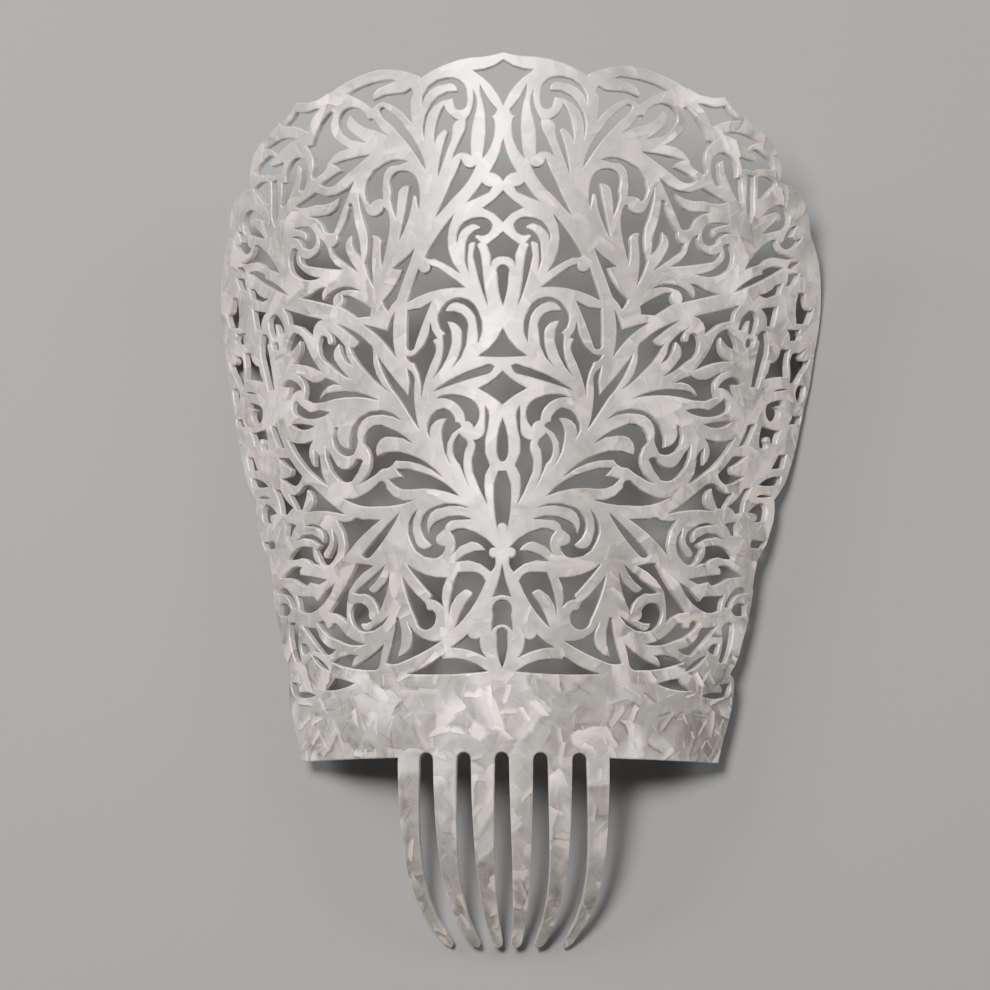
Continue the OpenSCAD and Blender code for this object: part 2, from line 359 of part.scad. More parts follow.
// section of the sheet from the peak down through the bend of the teeth
function section() = concat(
  [[sheet_r(top_z + head), top_z + head]],
  [for (i = [0:bend_steps]) [bend_r(i / bend_steps), bend_z(i / bend_steps)]],
  [for (i = [bend_steps:-1:0]) let(s = i / bend_steps)
    [bend_r(s) - thick(s) * cos(lean(s)), bend_z(s) + thick(s) * sin(lean(s))]],
  [[sheet_r(top_z + head) - wall / cos(slope), top_z + head]]);

// sideways place of the middle of tooth i, and half its width, at share s
function from_mid(i) = i - (teeth - 1) / 2;
function gather(i) = inner_gather
  + (tooth_gather - inner_gather) * (abs(from_mid(i)) - 0.5) / max(1, (teeth - 2) / 2);
function tooth_x(i, s) = from_mid(i) * pitch * (1 - gather(i) * pow(s, 3.8));
function half_w(s) = (tooth_w + (tooth_tip_w - tooth_w) * pow(s, 1.35)) / 2;
fillet = slot_w / 2;
tip_share = tooth_tip_w * 0.7 / tooth_run;
function edge_w(s) = half_w(s) * sqrt(1 - pow(max(0, min(1, (s - 1 + tip_share) / tip_share)), 2));
// stations down one flank: [share of the bend, half width of the tooth there]
function flank(round_root) = concat(
  [for (a = round_root ? [0:22.5:90] : [90]) let(s = share_at(-fillet * (1 - cos(a))))
    [round_root ? s : 0, half_w(s) + (round_root ? fillet * (1 - sin(a)) : 0)]],
  [for (i = [2:7]) [i * 0.12, half_w(i * 0.12)]],
  [for (a = [0:22.5:90]) let(s = 1 - tip_share * (1 - sin(a))) [s, edge_w(s)]]);
// flank of tooth i on one side, seen by a tool at angle mid
function flank_seen(i, side, round_root, mid) = [for (f = flank(round_root)) let(
    slim = round_root ? 0 : min(outer_trim, f[1]), r = bend_r(f[0]))
  [r * sin(asin((tooth_x(i, f[0]) + side * (f[1] - slim)) / r) - mid), bend_z(f[0])]];
function backward(list) = [for (i = [len(list) - 1:-1:0]) list[i]];

module slot(i) {
  mid = asin((tooth_x(i, 0) + tooth_x(i + 1, 0)) / 2 / band_r);
  left = flank_seen(i, 1, true, mid);
  right = flank_seen(i + 1, -1, true, mid);
  low = bend_z(1) - 6;
  pts = concat([for (k = [0:len(left) - 1]) left[k]],
    [[left[len(left) - 1].x, low], [right[len(right) - 1].x, low]],
    backward([for (k = [1:len(right) - 1]) right[k]]));
  tool(pts, mid, bend_r(1) - tool_in, band_r + tool_out);
}

module outer_flank(side) {
  i = side > 0 ? teeth - 1 : 0;
  root = asin(((teeth - 1) / 2 * pitch + tooth_w / 2) / band_r);
  mid = side * (root + 3);
  edge = flank_seen(i, side, false, mid);
  far = side * band_r * sin(16);
  low = bend_z(1) - 6;
  pts = concat([[far, -band_drop], [edge[0].x, -band_drop]],
    [for (p = edge) if (p.y < -band_drop) p],
    [[edge[len(edge) - 1].x, low], [far, low]]);
  tool(pts, mid, bend_r(1) - tool_in, band_r + tool_out);
}

// everything under the band beyond the outer teeth
module under_band(side) {
  root = asin(((teeth - 1) / 2 * pitch + tooth_w / 2) / band_r);
  span = wrap + spare + 6 - (root + 8);
  rotate([0, 0, side > 0 ? root + 8 - 90 : -90 - root - 8 - span])
    rotate_extrude(angle = span)
      translate([bend_r(1) - tool_in, bend_z(1) - 6])
        square([band_r + tool_out - bend_r(1) + tool_in, -band_drop - bend_z(1) + 6]);
}

module sheet() {
  rotate([0, 0, -90 - wrap - spare])
    rotate_extrude(angle = 2 * (wrap + spare))
      polygon(section());
}

// the sheet cut to its teeth first, then to its rim
module toothed_sheet() {
  difference() {
    sheet();
    for (i = [0:teeth - 2]) slot(i);
    for (side = [-1, 1]) outer_flank(side);
    for (side = [-1, 1]) under_band(side);
  }
}

// one part of the rim after another, so that neighbouring tools never have to be joined
module trimmed_sheet(parts) {
  if (parts == 1) difference() {
    toothed_sheet();
    crown_tool(RIM[0]);
  }
  else difference() {
    trimmed_sheet(parts - 1);
    rim_tool(RIM[parts - 1], 1);
    rim_tool(RIM[parts - 1], -1);
  }
}

// how the comb lies by itself, hollow side down: it touches at the tips of the outer teeth
// and at the widest places of the rim. Every point is [height along the axis, drop to the axis].
rim_low = [for (part = RIM) if (part[0] > 80) each [for (p = run(part[1]))
  let(mid = ang(part[0]), z = up(p.y), r = sheet_r(z), in = r - wall / cos(slope))
    [z, in * cos(mid + asin(r * sin(ang(p.x) - mid) / in))]]];
tooth_low = [for (s = [0.6:0.02:1]) let(
    mid = asin(((teeth - 1) / 2 * pitch + tooth_w / 2) / band_r) + 3,
    in = bend_r(s) - thick(s) * cos(lean(s)), z = bend_z(s) + thick(s) * sin(lean(s)),
    k = share_at(z), r = bend_r(k), w = edge_w(k),
    x = tooth_x(teeth - 1, k) + w - min(outer_trim, w))
  [z, in * cos(mid + asin(r * sin(asin(x / r) - mid) / in))]];
fall = max([for (t = tooth_low) min([for (p = rim_low) (p.y - t.y) / (p.x - t.x)])]);
tilt = -atan(fall);
lift = cos(tilt) * min([for (p = concat(rim_low, tooth_low)) p.y - fall * p.x]);
far_y = top_z * cos(tilt) - (sheet_r(top_z) - wall / cos(slope)) * sin(tilt);
near_y = bend_z(1) * cos(tilt) - bend_r(1) * sin(tilt);

// one batch of gaps after another: first those on the middle line, then the pairs beside it
module pierced(batches) {
  if (batches == 0) difference() {
    trimmed_sheet(len(RIM));
    for (rows = MID_GAPS) gap(rows, 1);
  }
  else difference() {
    pierced(batches - 1);
    for (i = [(batches - 1) * batch:min(batches * batch, len(SIDE_GAPS)) - 1])
      for (side = [-1, 1]) gap(SIDE_GAPS[i], side);
  }
}

module comb() {
  color([0.93, 0.91, 0.87])
    translate([0, -(far_y + near_y) / 2, -lift])
      rotate([tilt - 90, 0, 0])
        pierced(ceil(len(SIDE_GAPS) / batch));
}

comb();
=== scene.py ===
import math
import bpy
import bmesh
import numpy as np
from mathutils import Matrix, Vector
from mathutils.geometry import delaunay_2d_cdt


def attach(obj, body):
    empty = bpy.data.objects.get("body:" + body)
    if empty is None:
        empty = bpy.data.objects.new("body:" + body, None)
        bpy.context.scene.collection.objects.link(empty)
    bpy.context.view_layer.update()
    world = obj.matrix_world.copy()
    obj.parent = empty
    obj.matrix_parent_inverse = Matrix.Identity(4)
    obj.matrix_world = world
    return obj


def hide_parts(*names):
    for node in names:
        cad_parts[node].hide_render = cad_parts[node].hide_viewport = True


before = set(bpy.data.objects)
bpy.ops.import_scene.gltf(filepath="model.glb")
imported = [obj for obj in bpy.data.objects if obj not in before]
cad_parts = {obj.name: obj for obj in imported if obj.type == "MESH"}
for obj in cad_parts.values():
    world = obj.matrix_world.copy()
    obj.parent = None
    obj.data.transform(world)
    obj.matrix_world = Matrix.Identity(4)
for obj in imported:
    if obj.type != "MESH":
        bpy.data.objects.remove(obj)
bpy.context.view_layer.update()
print("frame loaded")

# the bent sheet: lengths in millimetres, angles in degrees
sheet = {
    "crestHeight": 200.0,
    "bandRadius": 91.4,
    "peakRadius": 110.1,
    "wrap": 60.3,
    "chartHalf": 105.2,      # the wrap as a length on the flat chart
    "thickness": 2.2,
    "tipThickness": 1.6,
    "toothHeight": 54.0,
    "toothBend": 36.0,
    "tilt": 4.50356,         # how the comb lies on its rim and its outer teeth
    "lift": 60.2268,
    "setBack": 65.0739,
}
slope = math.atan((sheet["peakRadius"] - sheet["bandRadius"]) / sheet["crestHeight"])
bend = math.radians(sheet["toothBend"])
bendRadius = sheet["toothHeight"] / (math.sin(slope + bend) - math.sin(slope))
toothRun = bendRadius * bend
tilt = math.radians(sheet["tilt"])
perChart = math.radians(sheet["wrap"]) / sheet["chartHalf"]


def leanAt(y):
    # the lean of the crest down to the top of the slots, then more of it down the teeth
    return slope + bend * np.clip(-y / toothRun, 0, 1.05)


def outerLine(y):
    # radius and height of the outer face, and its lean, at a height on the chart
    lean = leanAt(y)
    radius = np.where(y > 0, sheet["bandRadius"] + y * math.tan(slope),
                      sheet["bandRadius"] - bendRadius * (math.cos(slope) - np.cos(lean)))
    height = np.where(y > 0, y, bendRadius * (math.sin(slope) - np.sin(lean)))
    return radius, height, lean


def toWorld(across, height, out):
    # from the axis of the curl to the row frame, in metres
    y = height * math.cos(tilt) - out * math.sin(tilt) - sheet["setBack"]
    z = height * math.sin(tilt) + out * math.cos(tilt) - sheet["lift"]
    return np.column_stack([across, y, z]) / 1000


def sheetPoint(x, y, depth):
    # chart across, chart up and depth under the outer face to the row frame
    radius, height, lean = outerLine(y)
    share = np.clip(-y / toothRun, 0, 1)
    depth = depth * (1 + (sheet["tipThickness"] / sheet["thickness"] - 1) * share)
    radius = radius - depth * np.cos(lean)
    height = height + depth * np.sin(lean) * np.clip(share / 0.15, 0, 1)
    return toWorld(radius * np.sin(x * perChart), height, radius * np.cos(x * perChart))


def sheetTurned(x, y, right, up, out):
    # a direction given along the sheet's own right, up and outward, in the row frame
    lean = leanAt(y)
    radial = out * np.cos(lean) + up * np.sin(lean)
    height = up * np.cos(lean) - out * np.sin(lean)
    angle = x * perChart
    across = radial * np.sin(angle) + right * np.cos(angle)
    away = radial * np.cos(angle) - right * np.sin(angle)
    return np.column_stack([across,
                            height * math.cos(tilt) - away * math.sin(tilt),
                            height * math.sin(tilt) + away * math.cos(tilt)])


def toChart(points):
    # row frame to chart across, chart up and depth under the outer face
    across = points[:, 0] * 1000
    y = points[:, 1] * 1000 + sheet["setBack"]
    z = points[:, 2] * 1000 + sheet["lift"]
    height = y * math.cos(tilt) + z * math.sin(tilt)
    out = z * math.cos(tilt) - y * math.sin(tilt)
    lean = np.arcsin(np.clip(math.sin(slope) - np.minimum(height, 0) / bendRadius, -1, 1))
    chartY = np.where(height > 0, height, -(lean - slope) * bendRadius)
    radius, _, lean = outerLine(chartY)
    return (np.arctan2(across, out) / perChart, chartY,
            (radius - np.hypot(across, out)) * np.cos(lean))


def outlinesOf(node):
    # the closed edges of the outer face of the solid, on the flat chart
    together = 2e-5          # points closer than this are merged, metres
    skin = 0.2               # farthest that a point of the outer face lies from it, mm
    bm = bmesh.new()
    bm.from_mesh(node.data)
    bmesh.ops.remove_doubles(bm, verts=bm.verts, dist=together)
    x, y, depth = toChart(np.array([v.co for v in bm.verts]))
    outer = {v for v, d in zip(bm.verts, depth) if abs(d) < skin}
    normals = sheetTurned(x, y, x * 0, x * 0, x * 0 + 1)
    bm.verts.index_update()
    faces = [f for f in bm.faces if all(v in outer for v in f.verts)
             and f.normal.dot(Vector(normals[f.verts[0].index])) > 0.5]
    front = set(faces)
    ahead = {}
    for face in faces:
        for loop in face.loops:
            other = [f for f in loop.edge.link_faces if f in front]
            if len(other) == 1:
                ahead.setdefault(loop.vert.index, []).append(loop.link_loop_next.vert.index)
    loops = []
    while ahead:
        here = next(iter(ahead))
        ring = []
        while here in ahead:
            ring.append(here)
            steps = ahead[here]
            following = steps.pop()
            if not steps:
                del ahead[here]
            here = following
        if len(ring) > 3:
            loops.append(np.column_stack([x[ring], y[ring]]))
    bm.free()
    return loops


# small gaps of the right half, drawn again mirrored: rows of a corner, then a point on the arc
# to the next corner, in millimetres on the flat chart
smallGaps = [
    [[31, 67.9, 38, 62], [44.2, 56.3, 42.8, 55.4], [41, 55.8, 36, 60.8]],
    [[58.8, 53.2, 61.2, 54.8], [63.5, 55.1, 65.3, 56.5], [67.5, 57.1, 70.5, 56.8],
     [73.7, 57.2, 70.8, 59.5], [66.5, 60.4, 64.3, 60.1], [62.6, 59.7, 62.3, 56.8],
     [60.8, 55, 59.8, 54]],
    [[73.7, 42.2, 74.9, 44], [76.5, 44.7, 78, 44.7], [79.2, 44.5, 79.5, 43],
     [79.6, 41.5, 77.5, 41], [75.2, 41, 74.4, 41.5]],
    [[80, 47.8, 77.3, 49.2], [73.8, 47.6, 71.9, 45.7], [70.9, 43.2, 72.1, 43],
     [73.2, 43.6, 74.8, 46.3], [76.8, 47.4, 78.4, 47.7]],
    [[80, 61, 79.9, 62.2], [80.5, 63.2, 83.5, 63.3], [86.2, 63.4, 85.7, 62.2],
     [85, 61.4, 82.5, 61]],
    [[69.2, 66.7, 71.3, 67.4], [73.4, 67.7, 73.9, 66], [74.3, 64, 72.8, 63.7],
     [71.6, 63.8, 70.6, 65.5]],
    [[4.8, 26.3, 6.6, 29.2], [6.8, 31.7, 8.8, 31.4], [10.4, 32.8, 12.7, 31],
     [15.7, 29.3, 10, 28.5]],
    [[43.4, 31, 48.5, 32.5], [53.6, 36.8, 55, 37.5], [56.4, 37.1, 57.3, 36.2],
     [58.3, 36.6, 59, 38.1], [61.8, 37.8, 59, 35], [54, 32.7, 48.8, 31]],
    [[54.9, 30, 58.6, 31.2], [61.7, 34.3, 62.1, 35.8], [63, 36.7, 65.7, 36.9],
     [68.5, 37.6, 64, 32.9], [59.6, 28.7, 57.5, 28.7]],
    [[57.6, 23.9, 61, 27.1], [64.9, 28.8, 62.3, 26.1]],
    [[65.5, 30.5, 67, 32], [69.5, 32.3, 69.4, 31], [68.8, 29.4, 67.2, 29.4]],
    [[48.4, 20, 52.2, 21.2], [55.9, 21.9, 57.4, 20.2], [60, 18.6, 54, 18.7]],
    [[64.1, 17.4, 68, 18.5], [71.5, 18.7, 71.7, 19.6], [70, 20.7, 72.5, 21.3],
     [75, 21.7, 75, 19.8], [74, 17.9, 69, 16.8]],
    [[70.1, 36.8, 70.9, 38], [74.6, 38.5, 74.3, 32.5], [72.3, 27.5, 71, 27.2],
     [69.8, 27.6, 70.9, 32.3]],
    [[12.5, 89.4, 14.4, 85.8], [12.5, 80.8, 11.3, 77.8], [9.6, 74.2, 11.4, 80.8],
     [10.8, 85.1, 10.2, 86.4], [10.6, 87.7, 11.5, 88.4]],
    [[8.4, 91.1, 6.7, 95.5], [10, 99.5, 14, 100.6], [19.5, 99.7, 14.3, 98.9],
     [11.3, 95.8, 10.9, 94.5], [10.7, 93.1, 9.3, 92.7]],
    [[65.7, 80.7, 68.4, 83.5], [70.7, 86.3, 73, 86.8], [75.9, 87, 73, 84.8],
     [70.4, 83.4, 70.5, 81.9], [71.6, 81.1, 73.5, 80.9], [75.7, 81.3, 72.5, 79.3],
     [68.7, 78.1, 67, 78.9]],
    [[70.1, 71.9, 73, 74.2], [75.8, 77.6, 77, 77.9], [78.5, 78.1, 76.5, 74.7],
     [75.9, 70.9, 74.5, 70.4], [73, 70, 71.5, 71.3]],
    [[78.1, 71, 80, 72.7], [82.3, 74, 84.9, 73.6], [85.6, 71, 85.2, 69.6],
     [83.5, 68.8, 81.8, 68.5], [80.2, 68.3, 81.6, 69.5], [81.2, 70.8, 79.6, 70.9]],
    [[80.7, 75.7, 84, 76.8], [88, 76.7, 84, 75.9]],
    [[81.6, 79.3, 86, 81.8], [91.2, 82.8, 91, 81.5], [90, 80.3, 86, 79.5]],
    [[86.7, 84.6, 88.2, 86.9], [89.2, 88.8, 91, 89.2], [92.9, 89.4, 92.4, 87.2],
     [92, 85.5, 89.5, 85]],
    [[80.9, 90.2, 80.7, 93.7], [81.4, 96.3, 85.2, 96], [89.5, 96.2, 88.4, 94.5],
     [88, 92.2, 86.5, 92], [85.2, 92.2, 84.5, 93.6], [83.9, 91.5, 83.7, 90.4],
     [83, 90.1, 82, 90]],
    [[72.6, 89.3, 74.3, 92.4], [75.6, 95.8, 77, 96.5], [78.8, 96.7, 77.1, 93],
     [75.8, 90.6, 74.3, 90]],
    [[59.8, 94.6, 63.5, 95.6], [69.7, 96.4, 64, 94]],
    [[2.5, 108.3, 3.7, 108.9], [5.2, 108.5, 13, 105.7], [20.2, 101.6, 11.5, 104.4],
     [4.3, 106.3, 3, 107.2]],
    [[31, 125.4, 31.9, 118.5], [31, 111.6, 35.6, 117.6], [41.3, 122.3, 37, 121],
     [33.7, 119.8, 32.8, 122.3]],
    [[38.5, 126.6, 42.5, 129.4], [45.5, 131, 46.5, 131.2], [47.7, 131.3, 47.7, 129.4],
     [48.5, 128.2, 45.5, 126.2], [42.9, 124.4, 41, 124.5], [38.9, 124.4, 38.8, 125.5]],
    [[64.1, 105.6, 66.2, 108], [69.5, 109.3, 71.4, 108.8], [73, 107.9, 71, 107.2],
     [69.3, 107.1, 69.9, 105.4], [71.1, 103.3, 69.8, 103.3], [68.6, 104.3, 66.8, 105.4]],
    [[53.7, 98, 57.3, 98.9], [61.3, 98.8, 63.8, 100.4], [66.5, 102.7, 68.2, 101.5],
     [67.3, 98.9, 61.5, 96.9]],
    [[95.3, 108, 96, 109.8], [98, 110.8, 98.9, 110.8], [99.8, 110.5, 99.6, 108],
     [98.6, 106, 97.6, 105.4], [96.7, 105.6, 95.7, 106.5]],
    [[85, 107, 88, 108.1], [91.4, 108.5, 88, 107.6]],
    [[83.1, 103, 86.2, 104.4], [88.9, 105.1, 89.9, 104.6], [90.3, 103.7, 88.3, 103.3],
     [87, 102.6, 88.2, 102], [88.3, 100.3, 87.5, 99.2], [84, 98.4, 82.5, 100.8]],
    [[92.9, 98.3, 94.2, 99.8], [94.4, 101.1, 96.5, 101.3], [98.7, 101.5, 98.4, 99.9],
     [97.8, 99.2, 95.5, 98.9]],
    [[73.2, 118.4, 73.1, 119.8], [73.6, 121, 75, 121], [76.1, 120.7, 75.9, 119.3],
     [75.2, 118.6, 74.2, 118.4]],
    [[70.2, 123.2, 71.2, 126.5], [73, 128.5, 75.7, 129], [77.1, 127.3, 76.7, 124.6],
     [75.5, 122.2, 74.7, 122.2], [73.8, 122.4, 74, 124.4], [74, 126.3, 73, 125],
     [72.4, 123.2, 71.3, 123.1]],
    [[78, 130.3, 81, 131.1], [84.7, 132, 84.2, 129.2], [83.4, 126, 82, 125.7],
     [80.8, 125.7, 80.1, 128.7]],
    [[89.3, 125.9, 92.3, 126.3], [95.4, 126.7, 95.3, 125.9], [95.9, 124.9, 95.3, 123.9],
     [94, 123.3, 92.5, 123.1], [91, 122.8, 90.5, 124.8]],
    [[3.1, 159.5, 4.6, 159.8], [5.7, 160.7, 7.4, 158.2], [9.9, 155.4, 6.6, 156.9],
     [4, 158.1, 3.4, 158.8]],
    [[7.4, 165.7, 9.2, 165.2], [10.4, 165.7, 11, 166.5], [11.4, 167.7, 12.7, 164],
     [14.1, 161.3, 15.8, 157.4], [18.8, 151.3, 16.9, 153.3], [13.5, 157.1, 9.7, 161.4]],
    [[24.8, 142.9, 27.7, 140.2], [31.7, 137.6, 30.2, 137.3], [28.6, 137, 31, 132.7],
     [34.9, 128.4, 34.4, 127.1], [33.2, 125.4, 32.2, 127], [30.5, 128.7, 28, 135]],
    [[64.9, 153.2, 61.8, 153.2], [59.5, 152.8, 57, 151], [56.4, 148.6, 57.6, 146.4],
     [60.2, 146.7, 61.1, 147.1], [61.7, 148.2, 62.6, 149.4], [66.3, 150.4, 62.7, 150.5],
     [60, 148.9, 59.6, 150.2], [60.2, 151.5, 62.3, 152.4]],
    [[55, 137.4, 60.4, 139.3], [63.5, 142.2, 64, 144.3], [63.2, 146.4, 64.3, 147.2],
     [65.4, 147.4, 66.9, 144], [65.7, 140.2, 61.3, 137.6]],
    [[41.4, 131.8, 47.3, 133.8], [51.5, 132.9, 53.3, 131.9], [54.7, 130.8, 54.9, 132.7],
     [53.4, 134.3, 54.8, 134.4], [56, 134.1, 59.3, 133], [63, 132.5, 58, 131],
     [51, 128.8, 51, 130.7], [49.6, 132.2, 45.5, 132.8]],
    [[83.8, 150.6, 84.8, 151], [85.4, 151.9, 86.7, 154.7], [90.6, 156.9, 89.3, 155.1],
     [88.8, 153.4, 90.2, 152.9], [93, 153.9, 91.3, 151.4], [88.5, 149.8, 87, 149.2],
     [85.5, 149.3, 84.2, 149.9]],
    [[67.7, 133.6, 72.6, 137.7], [77.8, 140.4, 77.7, 141], [77.9, 141.6, 81.3, 143.2],
     [86.4, 143.6, 77.5, 138.4]],
    [[76.5, 134.3, 80.4, 135.5], [83.1, 138.1, 84.4, 138.5], [86, 138.8, 85.4, 137.2],
     [85.1, 135.8, 83, 134.9], [80.2, 133.7, 78.3, 133.9]],
    [[88.2, 142, 90.3, 142.7], [93, 143.1, 92, 141], [90.9, 139.4, 89.3, 139],
     [87.5, 138.3, 88.1, 140.4]],
    [[87.7, 143.9, 88.3, 145.1], [89.2, 145.8, 91, 146.1], [92.8, 146.6, 91.5, 145.3],
     [90.5, 144.4, 89.2, 143.9]],
    [[70.2, 168.3, 71.5, 168.5], [72.6, 168.3, 72.8, 163], [73.2, 158.5, 72.8, 156.5],
     [72, 155, 70.6, 158], [70.3, 162, 70.2, 165]],
    [[6.2, 189, 6, 186.8], [5.3, 184, 4.6, 178.5], [4.8, 172.8, 5.1, 170.2],
     [5.6, 167.9, 3.3, 171.6], [2.4, 176, 2.5, 178.3], [3.1, 180.2, 2.3, 180.6],
     [1.9, 181.8, 4.2, 184.9]],
    [[8, 187.6, 7.2, 184], [7.9, 179.8, 8.8, 174.5], [8.8, 169, 10.6, 169.8],
     [14.1, 167.4, 12.6, 171], [10.2, 176, 9.9, 177.6], [9.9, 179.1, 8.4, 181.9]],
    [[16, 183.5, 17.5, 180.2], [18.4, 176.6, 18.7, 174.7], [18.7, 172.5, 18, 174.6],
     [15.9, 176.6, 15.3, 176.4], [15, 175.7, 16.6, 170.4], [17.9, 163, 16.4, 167.4],
     [14.2, 173.5, 13.9, 175.5], [13.9, 177.2, 13.4, 178.3], [12.4, 179.1, 14.7, 180.8]],
    [[21.3, 165.2, 22.4, 169.5], [26.6, 177.2, 29.3, 181], [32.6, 183.9, 34, 184.2],
     [34.3, 183.3, 33.2, 181.4], [31.3, 179.6, 26.6, 173.8]],
    [[37.4, 171.1, 43.5, 170.7], [49.8, 169.9, 47.9, 169], [46.8, 167.5, 50.3, 166.2],
     [53.8, 164.5, 51.4, 163.4], [48.2, 164.2, 43, 167.6]],
    [[53.3, 186.6, 54.2, 186.8], [55.5, 186.8, 58.7, 186.4], [61.7, 187.2, 63.6, 185.2],
     [66.6, 183.8, 61.8, 182.8], [57.8, 180.8, 56.3, 183.8]],
    [[61.5, 179, 65.3, 180.1], [69.5, 180, 72.2, 179.3], [75, 178.7, 72, 177.9],
     [69.7, 175.9, 66, 178]],
    [[74.1, 168.5, 77, 169.1], [80.2, 168.4, 80.9, 167.6], [80.3, 166.9, 78.6, 165.2],
     [77.2, 163.5, 76, 162.6], [74.3, 162.1, 74.2, 165]],
]


def turnsOf(points):
    # the turn at each point of a ring, in degrees
    before = points - np.roll(points, 1, 0)
    after = np.roll(points, -1, 0) - points
    cross = before[:, 0] * after[:, 1] - before[:, 1] * after[:, 0]
    return np.degrees(np.arctan2(cross, (before * after).sum(1)))


def cleanLoop(points, nearest):
    # drops points that lie on top of each other, then those in the middle of a straight edge
    smallTurn, shortEdges = 0.8, 5.0     # degrees, mm
    kept = [p for p, q in zip(points, np.roll(points, 1, 0)) if np.hypot(*(p - q)) > nearest]
    points = np.array(kept)
    gaps = np.hypot(*(np.roll(points, -1, 0) - points).T)
    straight = (abs(turnsOf(points)) < smallTurn) & (gaps + np.roll(gaps, 1) < shortEdges)
    straight[1::2] = False
    return points[~straight]


def withStops(points, longest):
    # a long straight edge gets points along it, so that the arcs beside it don't bow it
    spacing = 2.5
    out = []
    for p, q in zip(points, np.roll(points, -1, 0)):
        out.append(p)
        length = np.hypot(*(q - p))
        if length > longest:
            stops = max(2, int(length / spacing))
            out += [p + (q - p) * k / stops for k in range(1, stops)]
    return np.array(out)


def smoothLoop(points, sharp, turn, step):
    # a curve through the points that keeps each corner sharper than `sharp` degrees
    corner = abs(turnsOf(points)) > sharp
    ahead = np.roll(points, -1, 0) - points
    length = np.hypot(*ahead.T)[:, None]
    unit = ahead / length
    lengthBack, unitBack = np.roll(length, 1, 0), np.roll(unit, 1, 0)
    tangent = (unitBack * length + unit * lengthBack) / (length + lengthBack)
    tangent /= np.hypot(*tangent.T)[:, None]
    out, corners = [], []
    for i in range(len(points)):
        j = (i + 1) % len(points)
        leave, arrive, chord = tangent[i], tangent[j], unit[i]
        if corner[i]:
            leave = chord if corner[j] else 2 * chord * (chord @ arrive) - arrive
        if corner[j]:
            arrive = chord if corner[i] else 2 * chord * (chord @ leave) - leave
        angle = math.degrees(math.acos(max(-1, min(1, leave @ arrive))))
        count = max(1, math.ceil(angle / turn), math.ceil(length[i, 0] / step))
        reach = length[i, 0] * min(1.3, 1 / max(0.3, math.cos(math.radians(angle) / 4) ** 2))
        for k in range(count):
            t = k / count
            out.append((2 * t**3 - 3 * t**2 + 1) * points[i] + (t**3 - 2 * t**2 + t) * reach * leave
                       + (3 * t**2 - 2 * t**3) * points[j] + (t**3 - t**2) * reach * arrive)
            corners.append(corner[i] and k == 0)
    return np.array(out), np.array(corners)


def arcLoop(rows, turn, step):
    # a closed ring of corner-and-through rows, as points on its arcs
    out = []
    for k, (x1, y1, xm, ym) in enumerate(rows):
        a, m, b = np.array([x1, y1]), np.array([xm, ym]), np.array(rows[(k + 1) % len(rows)][:2])
        twice = 2 * (a[0] * (m[1] - b[1]) + m[0] * (b[1] - a[1]) + b[0] * (a[1] - m[1]))
        length = np.hypot(*(m - a)) + np.hypot(*(b - m))
        if abs(twice) < 0.002 * length**2:
            count = max(1, math.ceil(length / step))
            out += [a + (b - a) * i / count for i in range(count)]
            continue
        aa, mm, bb = a @ a, m @ m, b @ b
        centre = np.array([aa * (m[1] - b[1]) + mm * (b[1] - a[1]) + bb * (a[1] - m[1]),
                           aa * (b[0] - m[0]) + mm * (a[0] - b[0]) + bb * (m[0] - a[0])]) / twice
        radius = np.hypot(*(a - centre))
        first, through, last = [math.degrees(math.atan2(*(p - centre)[::-1])) for p in (a, m, b)]
        sweep = (last - first) % 360
        if (through - first) % 360 > sweep:
            sweep -= 360
        along = abs(math.radians(sweep)) * radius
        count = max(1, math.ceil(abs(sweep) / turn), math.ceil(along / step))
        for i in range(count):
            angle = math.radians(first + sweep * i / count)
            out.append(centre + radius * np.array([math.cos(angle), math.sin(angle)]))
    return np.array(out)


def areaOf(points):
    after = np.roll(points, -1, 0)
    return (points[:, 0] * after[:, 1] - points[:, 1] * after[:, 0]).sum() / 2


def insideOf(points, starts, ends):
    # even-odd test against every edge of every outline, in parts to spare memory
    inside = np.zeros(len(points), bool)
    run = ends - starts
    for part in range(0, len(points), 1000):
        px, py = points[part:part + 1000, 0:1], points[part:part + 1000, 1:2]
        across = (starts[:, 1] > py) != (ends[:, 1] > py)
        with np.errstate(divide="ignore", invalid="ignore"):
            at = starts[:, 0] + (py - starts[:, 1]) * run[:, 0] / run[:, 1]
        inside[part:part + 1000] = (across & (px < at)).sum(1) % 2 == 1
    return inside


plate = {
    "nearest": 0.06,         # points of the solid closer than this count as one, mm
    "longest": 4.6,          # longest straight edge without points along it, mm
    "sharp": 33.0,           # corners sharper than this stay corners, degrees
    "turn": 13.0,            # most degrees that one edge of a curve turns
    "step": 2.2,             # longest edge along an outline, mm
    "round": 0.45,           # radius of the tumbled edges, mm
    "roundShare": 0.7,       # most of the room at a narrow place that the rounding takes
    "mitre": 1.9,            # most that a sharp corner reaches out
    "grid": 2.9,             # size of the triangles of the two faces, mm
    "gridClear": 0.42,       # how far the grid stays off the outlines, as a share of its size
}


def roomAt(points, normals):
    # radius of the largest circle in the material that touches the outline at each point
    widest, farthest = 9.0, 5.0          # mm
    room = np.full(len(points), widest)
    for part in range(0, len(points), 500):
        here = slice(part, part + 500)
        dx = points[None, :, 0] - points[here, 0:1]
        dy = points[None, :, 1] - points[here, 1:2]
        along = dx * normals[here, 0:1] + dy * normals[here, 1:2]
        far = dx**2 + dy**2
        ok = (along > 1e-4) & (far < farthest**2)
        radius = np.where(ok, far / np.where(ok, 2 * along, 1), widest)
        room[here] = radius.min(1)
    return room


